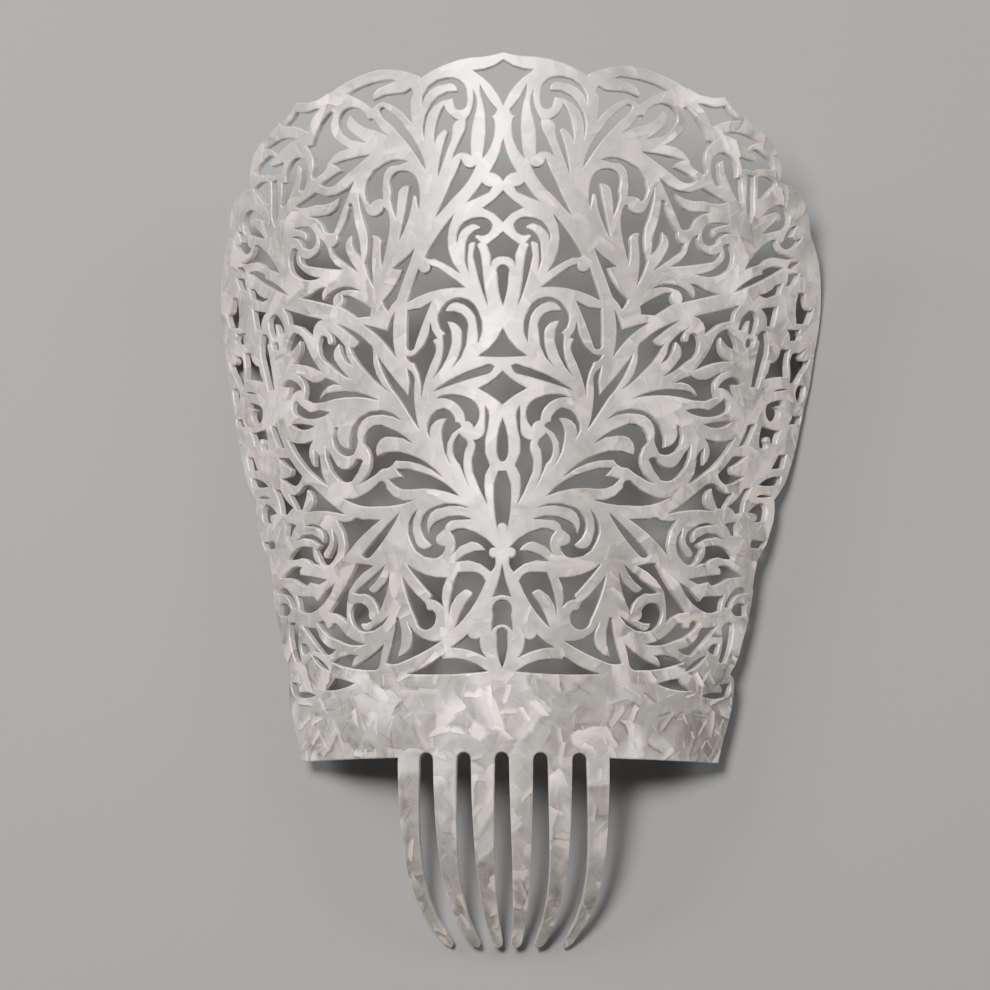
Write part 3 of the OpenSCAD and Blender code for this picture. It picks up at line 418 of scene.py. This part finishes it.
def joinRings(loops):
    # one list of points of all rings, (points, corner flags) with the outer ring first; with the number
    # of the next point, the corner flags, the normal of the edge ahead and the normal of the point
    points, corners, following, normals = [], [], [], []
    for k, (ring, corner) in enumerate(loops):
        if (areaOf(ring) > 0) != (k == 0):
            ring, corner = ring[::-1], corner[::-1]
        first = sum(len(p) for p in points)
        points.append(ring)
        corners.append(corner)
        following.append(first + (np.arange(len(ring)) + 1) % len(ring))
        ahead = np.roll(ring, -1, 0) - ring
        ahead /= np.hypot(*ahead.T)[:, None]
        normals.append(np.column_stack([-ahead[:, 1], ahead[:, 0]]))
    points, corners = np.concatenate(points), np.concatenate(corners)
    edgeNormal, following = np.concatenate(normals), np.concatenate(following)
    previous = np.empty_like(following)
    previous[following] = np.arange(len(points))
    bisector = edgeNormal + edgeNormal[previous]
    half = np.hypot(*bisector.T)[:, None] / 2
    bisector = bisector / np.maximum(2 * half, 1e-6)
    mitre = bisector * np.minimum(1 / np.maximum(half, 0.05), plate["mitre"])
    room = roomAt(points, bisector)
    bevel = np.minimum(plate["round"], plate["roundShare"] * room)[:, None]
    inset = mitre * bevel / plate["round"]
    return points, following, corners, edgeNormal, bisector, inset


def faceBetween(points, following, rimPoints):
    # points and triangles of the flat face between the outlines
    low, high = points.min(0), points.max(0)
    size = plate["grid"]
    rows = np.arange(low[1], high[1], size * 0.866)
    grid = np.array([(gx + (k % 2) * size / 2, gy) for k, gy in enumerate(rows)
                     for gx in np.arange(low[0], high[0], size)])
    nearest = np.concatenate([np.hypot(grid[i:i + 500, 0:1] - points[:, 0],
                                       grid[i:i + 500, 1:2] - points[:, 1]).min(1)
                              for i in range(0, len(grid), 500)])
    grid = grid[(nearest > size * plate["gridClear"]) & insideOf(grid, points, points[following])]
    capPoints = np.concatenate([rimPoints, grid])
    edges = [(i, int(following[i])) for i in range(len(points))]
    found, _, triangles, origin, _, _ = delaunay_2d_cdt(
        [Vector(p) for p in capPoints], edges, [], 1, 1e-5)
    origin = [o[0] if o else -1 for o in origin]
    # a point where two outlines cross is new
    for i in [i for i, o in enumerate(origin) if o < 0]:
        origin[i] = len(capPoints)
        capPoints = np.concatenate([capPoints, [found[i][:]]])
    triangles = np.array([[origin[i] for i in t] for t in triangles])
    centres = capPoints[triangles].mean(1)
    starts = capPoints[:len(points)]
    triangles = triangles[insideOf(centres, starts, starts[following])]
    turned = np.cross(capPoints[triangles[:, 1]] - capPoints[triangles[:, 0]],
                      capPoints[triangles[:, 2]] - capPoints[triangles[:, 0]]) < 0
    triangles[turned] = triangles[turned][:, ::-1]
    return capPoints, triangles


def makePlate(name, loops):
    points, following, corners, edgeNormal, bisector, inset = joinRings(loops)
    capPoints, triangles = faceBetween(points, following, points + inset * plate["round"])
    print("outline points:", len(points), "points of a face:", len(capPoints))

    # the rounded edge from the outer face to the inner one: inset as a share of the radius, depth in mm,
    # and the normal's shares along the sheet and out of it
    wall, bevel = sheet["thickness"], plate["round"]
    diagonal = 1 - math.sqrt(0.5)
    profile = [(1, 0, 0, 1), (diagonal, diagonal * bevel, 0.707, 0.707), (0, bevel, 1, 0),
               (0, wall - bevel, 1, 0), (diagonal, wall - diagonal * bevel, 0.707, -0.707),
               (1, wall, 0, -1)]
    flat = [capPoints] + [points + inset * bevel * p[0] for p in profile[1:-1]] + [capPoints]
    depths = [np.full(len(f), p[1]) for f, p in zip(flat, profile)]
    firsts = np.cumsum([0] + [len(f) for f in flat])
    flat, depths = np.concatenate(flat), np.concatenate(depths)
    places = sheetPoint(flat[:, 0], flat[:, 1], depths)
    faces, looks = [], []          # looks: for each face corner (side right, side up, out)
    up = np.array([0, 0, 1.0])
    for sign, first in ((1, firsts[0]), (-1, firsts[5])):
        for t in triangles:
            faces.append([int(first + i) for i in (t if sign > 0 else t[::-1])])
            looks += [up * sign] * 3
    for k in range(5):
        sideA, outA = profile[k][2:]
        sideB, outB = profile[k + 1][2:]
        for i in range(len(points)):
            j = int(following[i])
            faces.append([int(firsts[k] + i), int(firsts[k + 1] + i),
                          int(firsts[k + 1] + j), int(firsts[k] + j)])
            ni = -edgeNormal[i] if corners[i] else -bisector[i]
            nj = -edgeNormal[i] if corners[j] else -bisector[j]
            looks += [np.array([*(ni * sideA), outA]), np.array([*(ni * sideB), outB]),
                      np.array([*(nj * sideB), outB]), np.array([*(nj * sideA), outA])]
    looks = np.array(looks)
    order = np.array([i for f in faces for i in f])
    cornerNormals = sheetTurned(flat[order, 0], flat[order, 1], looks[:, 0], looks[:, 1], looks[:, 2])
    cornerNormals /= np.linalg.norm(cornerNormals, axis=1)[:, None]

    mesh = bpy.data.meshes.new(name)
    mesh.from_pydata(places.tolist(), [], faces)
    mesh.polygons.foreach_set("use_smooth", [True] * len(faces))
    mesh.normals_split_custom_set(cornerNormals.tolist())
    # place on the flat sheet in cm, for the pearl
    place = mesh.attributes.new("sheetPlace", "FLOAT_VECTOR", "POINT")
    place.data.foreach_set("vector", np.column_stack([flat, -depths]).astype(np.float32).ravel() / 10)
    # 1 on the cut edges
    edge = mesh.attributes.new("edge", "FLOAT", "POINT")
    rim = np.zeros(len(flat), np.float32)
    rim[firsts[1]:firsts[2]] = 0.8
    rim[firsts[2]:firsts[4]] = 1
    rim[firsts[4]:firsts[5]] = 0.8
    edge.data.foreach_set("value", rim)
    chart = mesh.uv_layers.new(name="chart")
    chart.data.foreach_set("uv", (flat[order] / 100).astype(np.float32).ravel())
    mesh.validate()
    made = bpy.data.objects.new(name, mesh)
    bpy.context.scene.collection.objects.link(made)
    return made


sharp, turn, step = plate["sharp"], plate["turn"], plate["step"]
outlines = sorted(outlinesOf(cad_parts["comb"]), key=lambda ring: -abs(areaOf(ring)))
print("outlines of the solid:", len(outlines))
loops = [smoothLoop(withStops(cleanLoop(ring, plate["nearest"]), plate["longest"]), sharp, turn, step)
         for ring in outlines]
for rows in smallGaps:
    for side in (1, -1):
        ring = arcLoop([[side * x, y, side * xm, ym] for x, y, xm, ym in rows], turn, step)
        loops.append((ring, abs(turnsOf(ring)) > sharp))
comb = makePlate("comb_plate", loops)
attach(comb, "root")
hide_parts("comb")
print("comb made, triangles:", sum(len(p.vertices) - 2 for p in comb.data.polygons))


def addNode(tree, kind, spot, **values):
    node = tree.nodes.new(kind)
    node.location = spot
    for key, value in values.items():
        if key in node.inputs:
            node.inputs[key].default_value = value
        else:
            setattr(node, key, value)
    return node


def mathNode(tree, operation, spot, a, b=None):
    node = addNode(tree, "ShaderNodeMath", spot, operation=operation)
    for slot, value in zip(node.inputs, (a, b)):
        if value is None:
            continue
        if isinstance(value, (int, float)):
            slot.default_value = value
        else:
            tree.links.new(value, slot)
    return node.outputs[0]


def vectorNode(tree, operation, spot, a, b=None, scale=None):
    node = addNode(tree, "ShaderNodeVectorMath", spot, operation=operation)
    for slot, value in ((0, a), (1, b), ("Scale", scale)):
        if value is None:
            continue
        if isinstance(value, (int, float, tuple)):
            node.inputs[slot].default_value = value
        else:
            tree.links.new(value, node.inputs[slot])
    return node.outputs["Vector"]


def mapNode(tree, spot, value, low, high, to=(0.0, 1.0), smooth=True):
    node = addNode(tree, "ShaderNodeMapRange", spot,
                   interpolation_type="SMOOTHSTEP" if smooth else "LINEAR")
    tree.links.new(value, node.inputs["Value"])
    for slot, number in zip(("From Min", "From Max", "To Min", "To Max"), (low, high, *to)):
        node.inputs[slot].default_value = number
    return node.outputs[0]


def noiseNode(tree, spot, place, scale, detail, roughness=0.5, distortion=0.0):
    node = addNode(tree, "ShaderNodeTexNoise", spot, Scale=scale, Detail=detail, Roughness=roughness,
                   Distortion=distortion)
    tree.links.new(place, node.inputs["Vector"])
    return node


# one layer of flakes: shares of a flake's half length or half width, unless said
flake = {
    "missing": (0.30, 0.36),      # share of the cells that hold no flake
    "ends": (0.62, 1.0),          # where its two ends fade
    "slant": 0.22,                # how far its ends are cut askew
    "crispFrom": (0.12, 0.87),    # where the fading of its crisp edge starts, softest and crispest
    "rim": (0.64, 0.92),          # where its painted highlight rim along the crisp edge starts
    "shade": (0.93, 1.04, 1.45),  # the painted shade line past the crisp edge: start, full, end
    "silk": 5.0,                  # fineness of the silk along it, per cell
    "silkTone": (0.45, 1.3),
}

flakeInputs = {"Place": "Vector", "Scale": "Float", "Warp": "Float", "Shift": "Vector",
               "Length": "Float", "Width": "Float", "Turn": "Float", "Spread": "Float"}
flakeOutputs = {"Body": "Float", "Rim": "Float", "Shade": "Float", "Tone": "Float", "Tilt": "Vector"}


def flakeGroup():
    # one layer of separate flakes: each turns its own way, has one crisp edge with a painted highlight
    # rim and a painted shade line beside it, and fades out toward its other side
    tree = bpy.data.node_groups.new("pearlFlakes", "ShaderNodeTree")
    for sockets, side in ((flakeInputs, "INPUT"), (flakeOutputs, "OUTPUT")):
        for name, kind in sockets.items():
            tree.interface.new_socket(name, in_out=side, socket_type="NodeSocket" + kind)
    inp = addNode(tree, "NodeGroupInput", (-1500, 0))
    out = addNode(tree, "NodeGroupOutput", (1500, 0))
    # cells, pushed out of shape
    place = vectorNode(tree, "ADD", (-1300, 0), inp.outputs["Place"], inp.outputs["Shift"])
    noise = noiseNode(tree, (-1300, -250), place, 0.85, 3.6, 0.58)
    centred = vectorNode(tree, "SUBTRACT", (-1100, -250), noise.outputs["Color"], (0.5, 0.5, 0.5))
    pushed = vectorNode(tree, "SCALE", (-940, -250), centred, None, inp.outputs["Warp"])
    warped = vectorNode(tree, "ADD", (-780, 0), place, pushed)
    cells = addNode(tree, "ShaderNodeTexVoronoi", (-600, 0), voronoi_dimensions="2D", Randomness=0.9)
    tree.links.new(warped, cells.inputs["Vector"])
    tree.links.new(inp.outputs["Scale"], cells.inputs["Scale"])
    split = addNode(tree, "ShaderNodeSeparateXYZ", (-400, 200))
    tree.links.new(cells.outputs["Color"], split.inputs[0])
    # each cell's own turned place, from -1 to 1 over its flake
    local = vectorNode(tree, "SUBTRACT", (-400, 0), warped, cells.outputs["Position"])
    local = vectorNode(tree, "SCALE", (-240, 0), local, None, inp.outputs["Scale"])
    swing = mathNode(tree, "SUBTRACT", (-240, 250), split.outputs[0], 0.5)
    swing = mathNode(tree, "MULTIPLY", (-80, 250), swing, inp.outputs["Spread"])
    swing = mathNode(tree, "ADD", (80, 250), swing, inp.outputs["Turn"])
    turned = addNode(tree, "ShaderNodeVectorRotate", (240, 0), rotation_type="Z_AXIS")
    tree.links.new(local, turned.inputs["Vector"])
    tree.links.new(swing, turned.inputs["Angle"])
    axes = addNode(tree, "ShaderNodeSeparateXYZ", (400, 0))
    tree.links.new(turned.outputs[0], axes.inputs[0])
    across = mathNode(tree, "DIVIDE", (560, 80), axes.outputs[0], inp.outputs["Width"])
    along = mathNode(tree, "DIVIDE", (560, -120), axes.outputs[1], inp.outputs["Length"])
    slant = mathNode(tree, "MULTIPLY", (560, -260), across, flake["slant"])
    along = mathNode(tree, "ADD", (700, -180), along, slant)
    along = mathNode(tree, "ABSOLUTE", (840, -120), along)
    ends = mapNode(tree, (980, -120), along, *flake["ends"], (1.0, 0.0))
    there = mapNode(tree, (560, 400), split.outputs[2], *flake["missing"])
    ends = mathNode(tree, "MULTIPLY", (1120, -120), ends, there)
    # the body, with silk along it
    fade = mapNode(tree, (840, 160), across, -1.0, 0.95)
    crispFrom = mapNode(tree, (680, 320), split.outputs[1], 0.30, 0.95, flake["crispFrom"])
    crisp = mapNode(tree, (840, 320), across, 0.9, 1.0, (1.0, 0.0))
    tree.links.new(crispFrom, crisp.node.inputs["From Min"])
    body = mathNode(tree, "MULTIPLY", (1000, 200), fade, crisp)
    body = mathNode(tree, "MULTIPLY", (1120, 200), body, ends)
    drawn = vectorNode(tree, "MULTIPLY", (560, -600), turned.outputs[0], (1.0, 0.13, 1.0))
    shifted = vectorNode(tree, "SCALE", (560, -750), cells.outputs["Color"], None, 9.0)
    drawn = vectorNode(tree, "ADD", (720, -600), drawn, shifted)
    silk = noiseNode(tree, (880, -600), drawn, flake["silk"], 3.0, 0.6)
    silky = mapNode(tree, (1040, -600), silk.outputs[0], 0.3, 0.7, flake["silkTone"], smooth=False)
    body = mathNode(tree, "MULTIPLY", (1240, 200), body, silky)
    # the painted highlight rim and the painted shade line past it
    near = mapNode(tree, (840, 480), across, *flake["rim"])
    rim = mathNode(tree, "MULTIPLY", (1000, 480), near, crisp)
    rim = mathNode(tree, "MULTIPLY", (1240, 480), rim, ends)
    shadeStart, shadeFull, shadeEnd = flake["shade"]
    past = mapNode(tree, (840, 640), across, shadeStart, shadeFull)
    away = mapNode(tree, (840, 800), across, 1.03, shadeEnd, (1.0, 0.0))
    shade = mathNode(tree, "MULTIPLY", (1000, 700), past, away)
    shade = mathNode(tree, "MULTIPLY", (1240, 700), shade, ends)
    tilt = vectorNode(tree, "SUBTRACT", (1000, -400), cells.outputs["Color"], (0.5, 0.5, 0.5))
    tilt = vectorNode(tree, "SCALE", (1240, -400), tilt, None, body)
    for name, value in (("Body", body), ("Rim", rim), ("Shade", shade), ("Tone", split.outputs[1]),
                        ("Tilt", tilt)):
        tree.links.new(value, out.inputs[name])
    return tree


pearl = {
    "dark": (0.215, 0.198, 0.182, 1),
    "middle": (0.430, 0.402, 0.370, 1),
    "light": (0.760, 0.705, 0.660, 1),
    "bright": (0.980, 0.950, 0.915, 1),
    "blush": (0.790, 0.620, 0.555, 1),
    "blushMost": 0.95,
    "cloud": 0.50,           # how strongly clouds, smoke and grain show under the flakes
    "smoke": 0.46,
    "grain": 0.06,
    "ground": 0.27,          # taken off the tone; less makes all of it lighter
    "crestPaintedLight": 0.13,       # painted light: how much lighter the crest is painted than the band
    "crestCalm": 0.50,       # how much of the flakes' contrast the crest keeps
    "liveliness": (0.62, 1.70),   # the flakes' contrast on the middle line and at the sides
    "spots": 0.30,
    "edgeHighlight": 0.30,        # painted highlight: how much lighter the cut edges are painted, where they catch light
    "tilt": 0.36,            # how far the flakes lean out of the sheet
    "metal": 0.45,
    "rough": 0.36,
    "edgeRough": 0.30,
    "gloss": 0.45,
    "glossRough": 0.14,
    "specular": 0.4,
}

# layers of flakes: spacing per cm, warp in cm, length and width as shares of the spacing, turn and its
# spread in radians, and how strongly body, painted highlight rim and painted shade show
pearlColumns = ("name", "Scale", "Warp", "Length", "Width", "Turn", "Spread", "body", "rim", "shade")
pearlLayers = (
    ("broad", 0.55, 0.90, 0.72, 0.44, 0.4, 6.3, 0.34, 0.06, 0.12),
    ("broadOver", 0.80, 0.75, 0.74, 0.38, 1.1, 6.3, 0.32, 0.14, 0.15),
    ("folded", 1.20, 0.60, 0.72, 0.32, 2.0, 6.3, 0.30, 0.22, 0.19),
    ("foldedOver", 1.80, 0.40, 0.74, 0.24, 0.2, 3.4, 0.30, 0.28, 0.20),
    ("sliver", 2.10, 0.42, 0.78, 0.15, 0.1, 1.8, 0.46, 0.22, 0.12),
    # painted glints: small bright highlights painted into the colour
    ("glint", 3.00, 0.30, 0.56, 0.12, 0.2, 2.3, 0.55, 0.16, 0.05),
)


def pearlMaterial():
    made = bpy.data.materials.new("pearlSheet")
    made.use_nodes = True
    tree = made.node_tree
    link = tree.links.new
    shader = tree.nodes["Principled BSDF"]
    shader.location = (1900, 0)
    tree.nodes["Material Output"].location = (2200, 0)
    place = addNode(tree, "ShaderNodeAttribute", (-1500, 0),
                    attribute_name="sheetPlace").outputs["Vector"]
    sides = addNode(tree, "ShaderNodeSeparateXYZ", (-1200, -1500))
    link(place, sides.inputs[0])
    fromMiddle = mathNode(tree, "ABSOLUTE", (-1040, -1500), sides.outputs[0])
    upSheet = sides.outputs[1]

    # the ground under the flakes
    cloud = noiseNode(tree, (-1200, -700), place, 0.33, 3.0, 0.55)
    smoke = noiseNode(tree, (-1200, -900), place, 1.3, 4.0, 0.6, 1.2)
    grain = noiseNode(tree, (-1200, -1100), place, 9.0, 3.0, 0.6)
    tone = mathNode(tree, "MULTIPLY", (-900, 900), cloud.outputs[0], pearl["cloud"])
    smoky = mathNode(tree, "MULTIPLY", (-900, 780), smoke.outputs[0], pearl["smoke"])
    tone = mathNode(tree, "ADD", (-760, 900), tone, smoky)
    grainy = mathNode(tree, "MULTIPLY", (-900, 660), grain.outputs[0], pearl["grain"])
    tone = mathNode(tree, "ADD", (-620, 900), tone, grainy)

    # the smallest flakes come in patches and near the sides
    where = noiseNode(tree, (-1200, -1300), place, 0.55, 2.0)
    patch = mapNode(tree, (-900, -1300), where.outputs[0], 0.44, 0.60)
    nearSides = mapNode(tree, (-900, -1500), fromMiddle, 3.5, 8.0, (0.0, 0.70))
    patch = mathNode(tree, "MAXIMUM", (-740, -1400), patch, nearSides)

    # the crest is calmer than the band and the teeth and painted a little lighter, as painted light; the
    # sides livelier
    calm = mapNode(tree, (-740, -1500), upSheet, 1.6, 4.5, (1.0, pearl["crestCalm"]))
    livelier = mapNode(tree, (-740, -1800), fromMiddle, 1.8, 6.2, pearl["liveliness"])
    calm = mathNode(tree, "MULTIPLY", (-600, -1500), calm, livelier)
    # painted light: the crest lighter toward its top
    lighter = mapNode(tree, (-740, -1650), upSheet, 1.0, 9.0, (0.0, pearl["crestPaintedLight"]))
    tone = mathNode(tree, "ADD", (-500, 1050), tone, lighter)

    # a few pale spots
    moved = vectorNode(tree, "ADD", (-1400, 1200), place, (11.0, 4.0, 2.0))
    spots = noiseNode(tree, (-1200, 1200), moved, 0.95, 2.0, 0.4)
    pale = mapNode(tree, (-900, 1200), spots.outputs[0], 0.56, 0.74, (0.0, pearl["spots"]))
    tone = mathNode(tree, "ADD", (-380, 1150), tone, pale)

    group = flakeGroup()
    blush = None
    lean = None
    for k, values in enumerate(pearlLayers):
        layer = dict(zip(pearlColumns, values))
        y = 400 - 260 * k
        node = addNode(tree, "ShaderNodeGroup", (-1200, y + 100), node_tree=group, label=layer["name"])
        link(place, node.inputs["Place"])
        node.inputs["Shift"].default_value = (3.1 + 5.3 * k, 1.7 + 7.9 * k, 0.4 + 2.3 * k)
        for slot in ("Scale", "Warp", "Length", "Width", "Turn", "Spread"):
            node.inputs[slot].default_value = layer[slot]
        body, flakeTone, flakeLean = (node.outputs[slot] for slot in ("Body", "Tone", "Tilt"))
        # a flake is lighter or a little darker than what lies under it
        sign = mapNode(tree, (-900, y), flakeTone, 0.25, 0.85, (-0.45, 1.25), smooth=False)
        signed = mathNode(tree, "MULTIPLY", (-740, y), body, sign)
        # body, painted highlight rim and painted shade line go into the tone
        for source, share in ((signed, layer["body"]), (node.outputs["Rim"], layer["rim"]),
                              (node.outputs["Shade"], -layer["shade"])):
            part = mathNode(tree, "MULTIPLY", (-580, y), source, share)
            part = mathNode(tree, "MULTIPLY", (-540, y), part, calm)
            if k > 3:
                part = mathNode(tree, "MULTIPLY", (-500, y), part, patch)
            tone = mathNode(tree, "ADD", (-420, y), tone, part)
        if k in (1, 2, 3):
            warm = mathNode(tree, "MULTIPLY", (-580, y - 100), body, flakeTone)
            blush = warm if blush is None else mathNode(tree, "ADD", (-420, y - 100), blush, warm)
        if k < 4:
            lean = (flakeLean if lean is None
                    else vectorNode(tree, "ADD", (-420, y - 200), lean, flakeLean))
    tone = mathNode(tree, "SUBTRACT", (-260, 0), tone, pearl["ground"])

    # the colours: from dark to bright by tone, a blush on some flakes, a painted highlight on the cut
    # edges
    ramp = addNode(tree, "ShaderNodeValToRGB", (-100, 0))
    stops = ramp.color_ramp.elements
    stops[0].position, stops[0].color = 0.0, pearl["dark"]
    stops[1].position, stops[1].color = 1.0, pearl["bright"]
    stops.new(0.30).color = pearl["middle"]
    stops.new(0.66).color = pearl["light"]
    link(tone, ramp.inputs[0])
    blushMask = mapNode(tree, (100, -250), blush, 0.15, 0.95, (0.0, pearl["blushMost"]))
    mixed = addNode(tree, "ShaderNodeMix", (300, 0), data_type="RGBA", blend_type="MIX")
    link(blushMask, mixed.inputs["Factor"])
    link(ramp.outputs[0], mixed.inputs[6])
    mixed.inputs[7].default_value = pearl["blush"]
    rim = addNode(tree, "ShaderNodeAttribute", (300, 300), attribute_name="edge").outputs["Fac"]
    # painted highlight on the cut edges
    paintedHighlight = mathNode(tree, "MULTIPLY", (480, 300), rim, pearl["edgeHighlight"])
    edged = addNode(tree, "ShaderNodeMix", (640, 0), data_type="RGBA")
    link(paintedHighlight, edged.inputs["Factor"])
    link(mixed.outputs[2], edged.inputs[6])
    edged.inputs[7].default_value = pearl["bright"]
    link(edged.outputs[2], shader.inputs["Base Color"])

    # each flake leans its own way, over faint waves of the polish
    leaning = mathNode(tree, "MULTIPLY", (100, -600), calm, pearl["tilt"])
    lean = vectorNode(tree, "SCALE", (300, -600), lean, None, leaning)
    surface = addNode(tree, "ShaderNodeNewGeometry", (500, -900))
    leaning = vectorNode(tree, "ADD", (700, -700), surface.outputs["Normal"], lean)
    leaning = vectorNode(tree, "NORMALIZE", (900, -700), leaning)
    bump = addNode(tree, "ShaderNodeBump", (1200, -700), Strength=0.25, Distance=0.0004)
    link(smoke.outputs[0], bump.inputs["Height"])
    link(leaning, bump.inputs["Normal"])
    link(bump.outputs[0], shader.inputs["Normal"])
    rough = mapNode(tree, (1200, -300), rim, 0.0, 1.0, (pearl["rough"], pearl["edgeRough"]), smooth=False)
    link(rough, shader.inputs["Roughness"])
    shader.inputs["Metallic"].default_value = pearl["metal"]
    shader.inputs["Coat Weight"].default_value = pearl["gloss"]
    shader.inputs["Coat Roughness"].default_value = pearl["glossRough"]
    shader.inputs["Specular IOR Level"].default_value = pearl["specular"]
    return made


comb.data.materials.append(pearlMaterial())
print("pearl made")

stageLook = {
    "floorColour": (0.205, 0.205, 0.205, 1),
    "floorRough": 0.8,
    "floorSize": 6,
    "floorHeight": -0.0005,
    "airColour": (1.0, 0.99, 0.97, 1),
    "air": 0.16,
    "lights": (              # name, place, aim, size, power, colour
        ("keyLight", (-0.22, 0.20, 1.08), (0, 0.02, 0.03), 0.4, 20.5, (1.0, 0.975, 0.945)),
        ("leftLight", (-0.85, 0.50, 0.62), (0, 0.03, 0.03), 0.5, 11.0, (1.0, 0.98, 0.96)),
        ("rightLight", (0.85, 0.45, 0.62), (0, 0.03, 0.03), 0.5, 6.3, (1, 1, 1)),
    ),
}

bpy.ops.mesh.primitive_plane_add(size=stageLook["floorSize"], location=(0, 0, stageLook["floorHeight"]))
floor = bpy.context.active_object
floor.name = "floor"
floorLook = bpy.data.materials.new("floorLook")
floorLook.use_nodes = True
floorShader = floorLook.node_tree.nodes["Principled BSDF"]
floorShader.inputs["Base Color"].default_value = stageLook["floorColour"]
floorShader.inputs["Roughness"].default_value = stageLook["floorRough"]
floor.data.materials.append(floorLook)

air = bpy.data.worlds.new("studio")
air.use_nodes = True
airShader = air.node_tree.nodes["Background"]
airShader.inputs[0].default_value = stageLook["airColour"]
airShader.inputs[1].default_value = stageLook["air"]
bpy.context.scene.world = air

for name, place, aim, size, power, colour in stageLook["lights"]:
    light = bpy.data.lights.new(name, "AREA")
    light.shape = "DISK"
    light.size = size
    light.energy = power
    light.color = colour
    lamp = bpy.data.objects.new(name, light)
    lamp.location = place
    lamp.rotation_euler = (Vector(aim) - Vector(place)).to_track_quat("-Z", "Y").to_euler()
    bpy.context.scene.collection.objects.link(lamp)

viewLook = {
    "place": (0.08617, -0.21548, 0.95729),
    "turn": (14.8624, 4.6468, 0.9015),
    "lens": 121.2121,
    "shift": (-0.03768, -0.09596),
}

view = bpy.data.cameras.new("view")
view.lens = viewLook["lens"]
view.sensor_width = 36
view.shift_x, view.shift_y = viewLook["shift"]
camera = bpy.data.objects.new("view", view)
camera.location = viewLook["place"]
camera.rotation_euler = [math.radians(a) for a in viewLook["turn"]]
bpy.context.scene.collection.objects.link(camera)
bpy.context.scene.camera = camera
print("stage set")
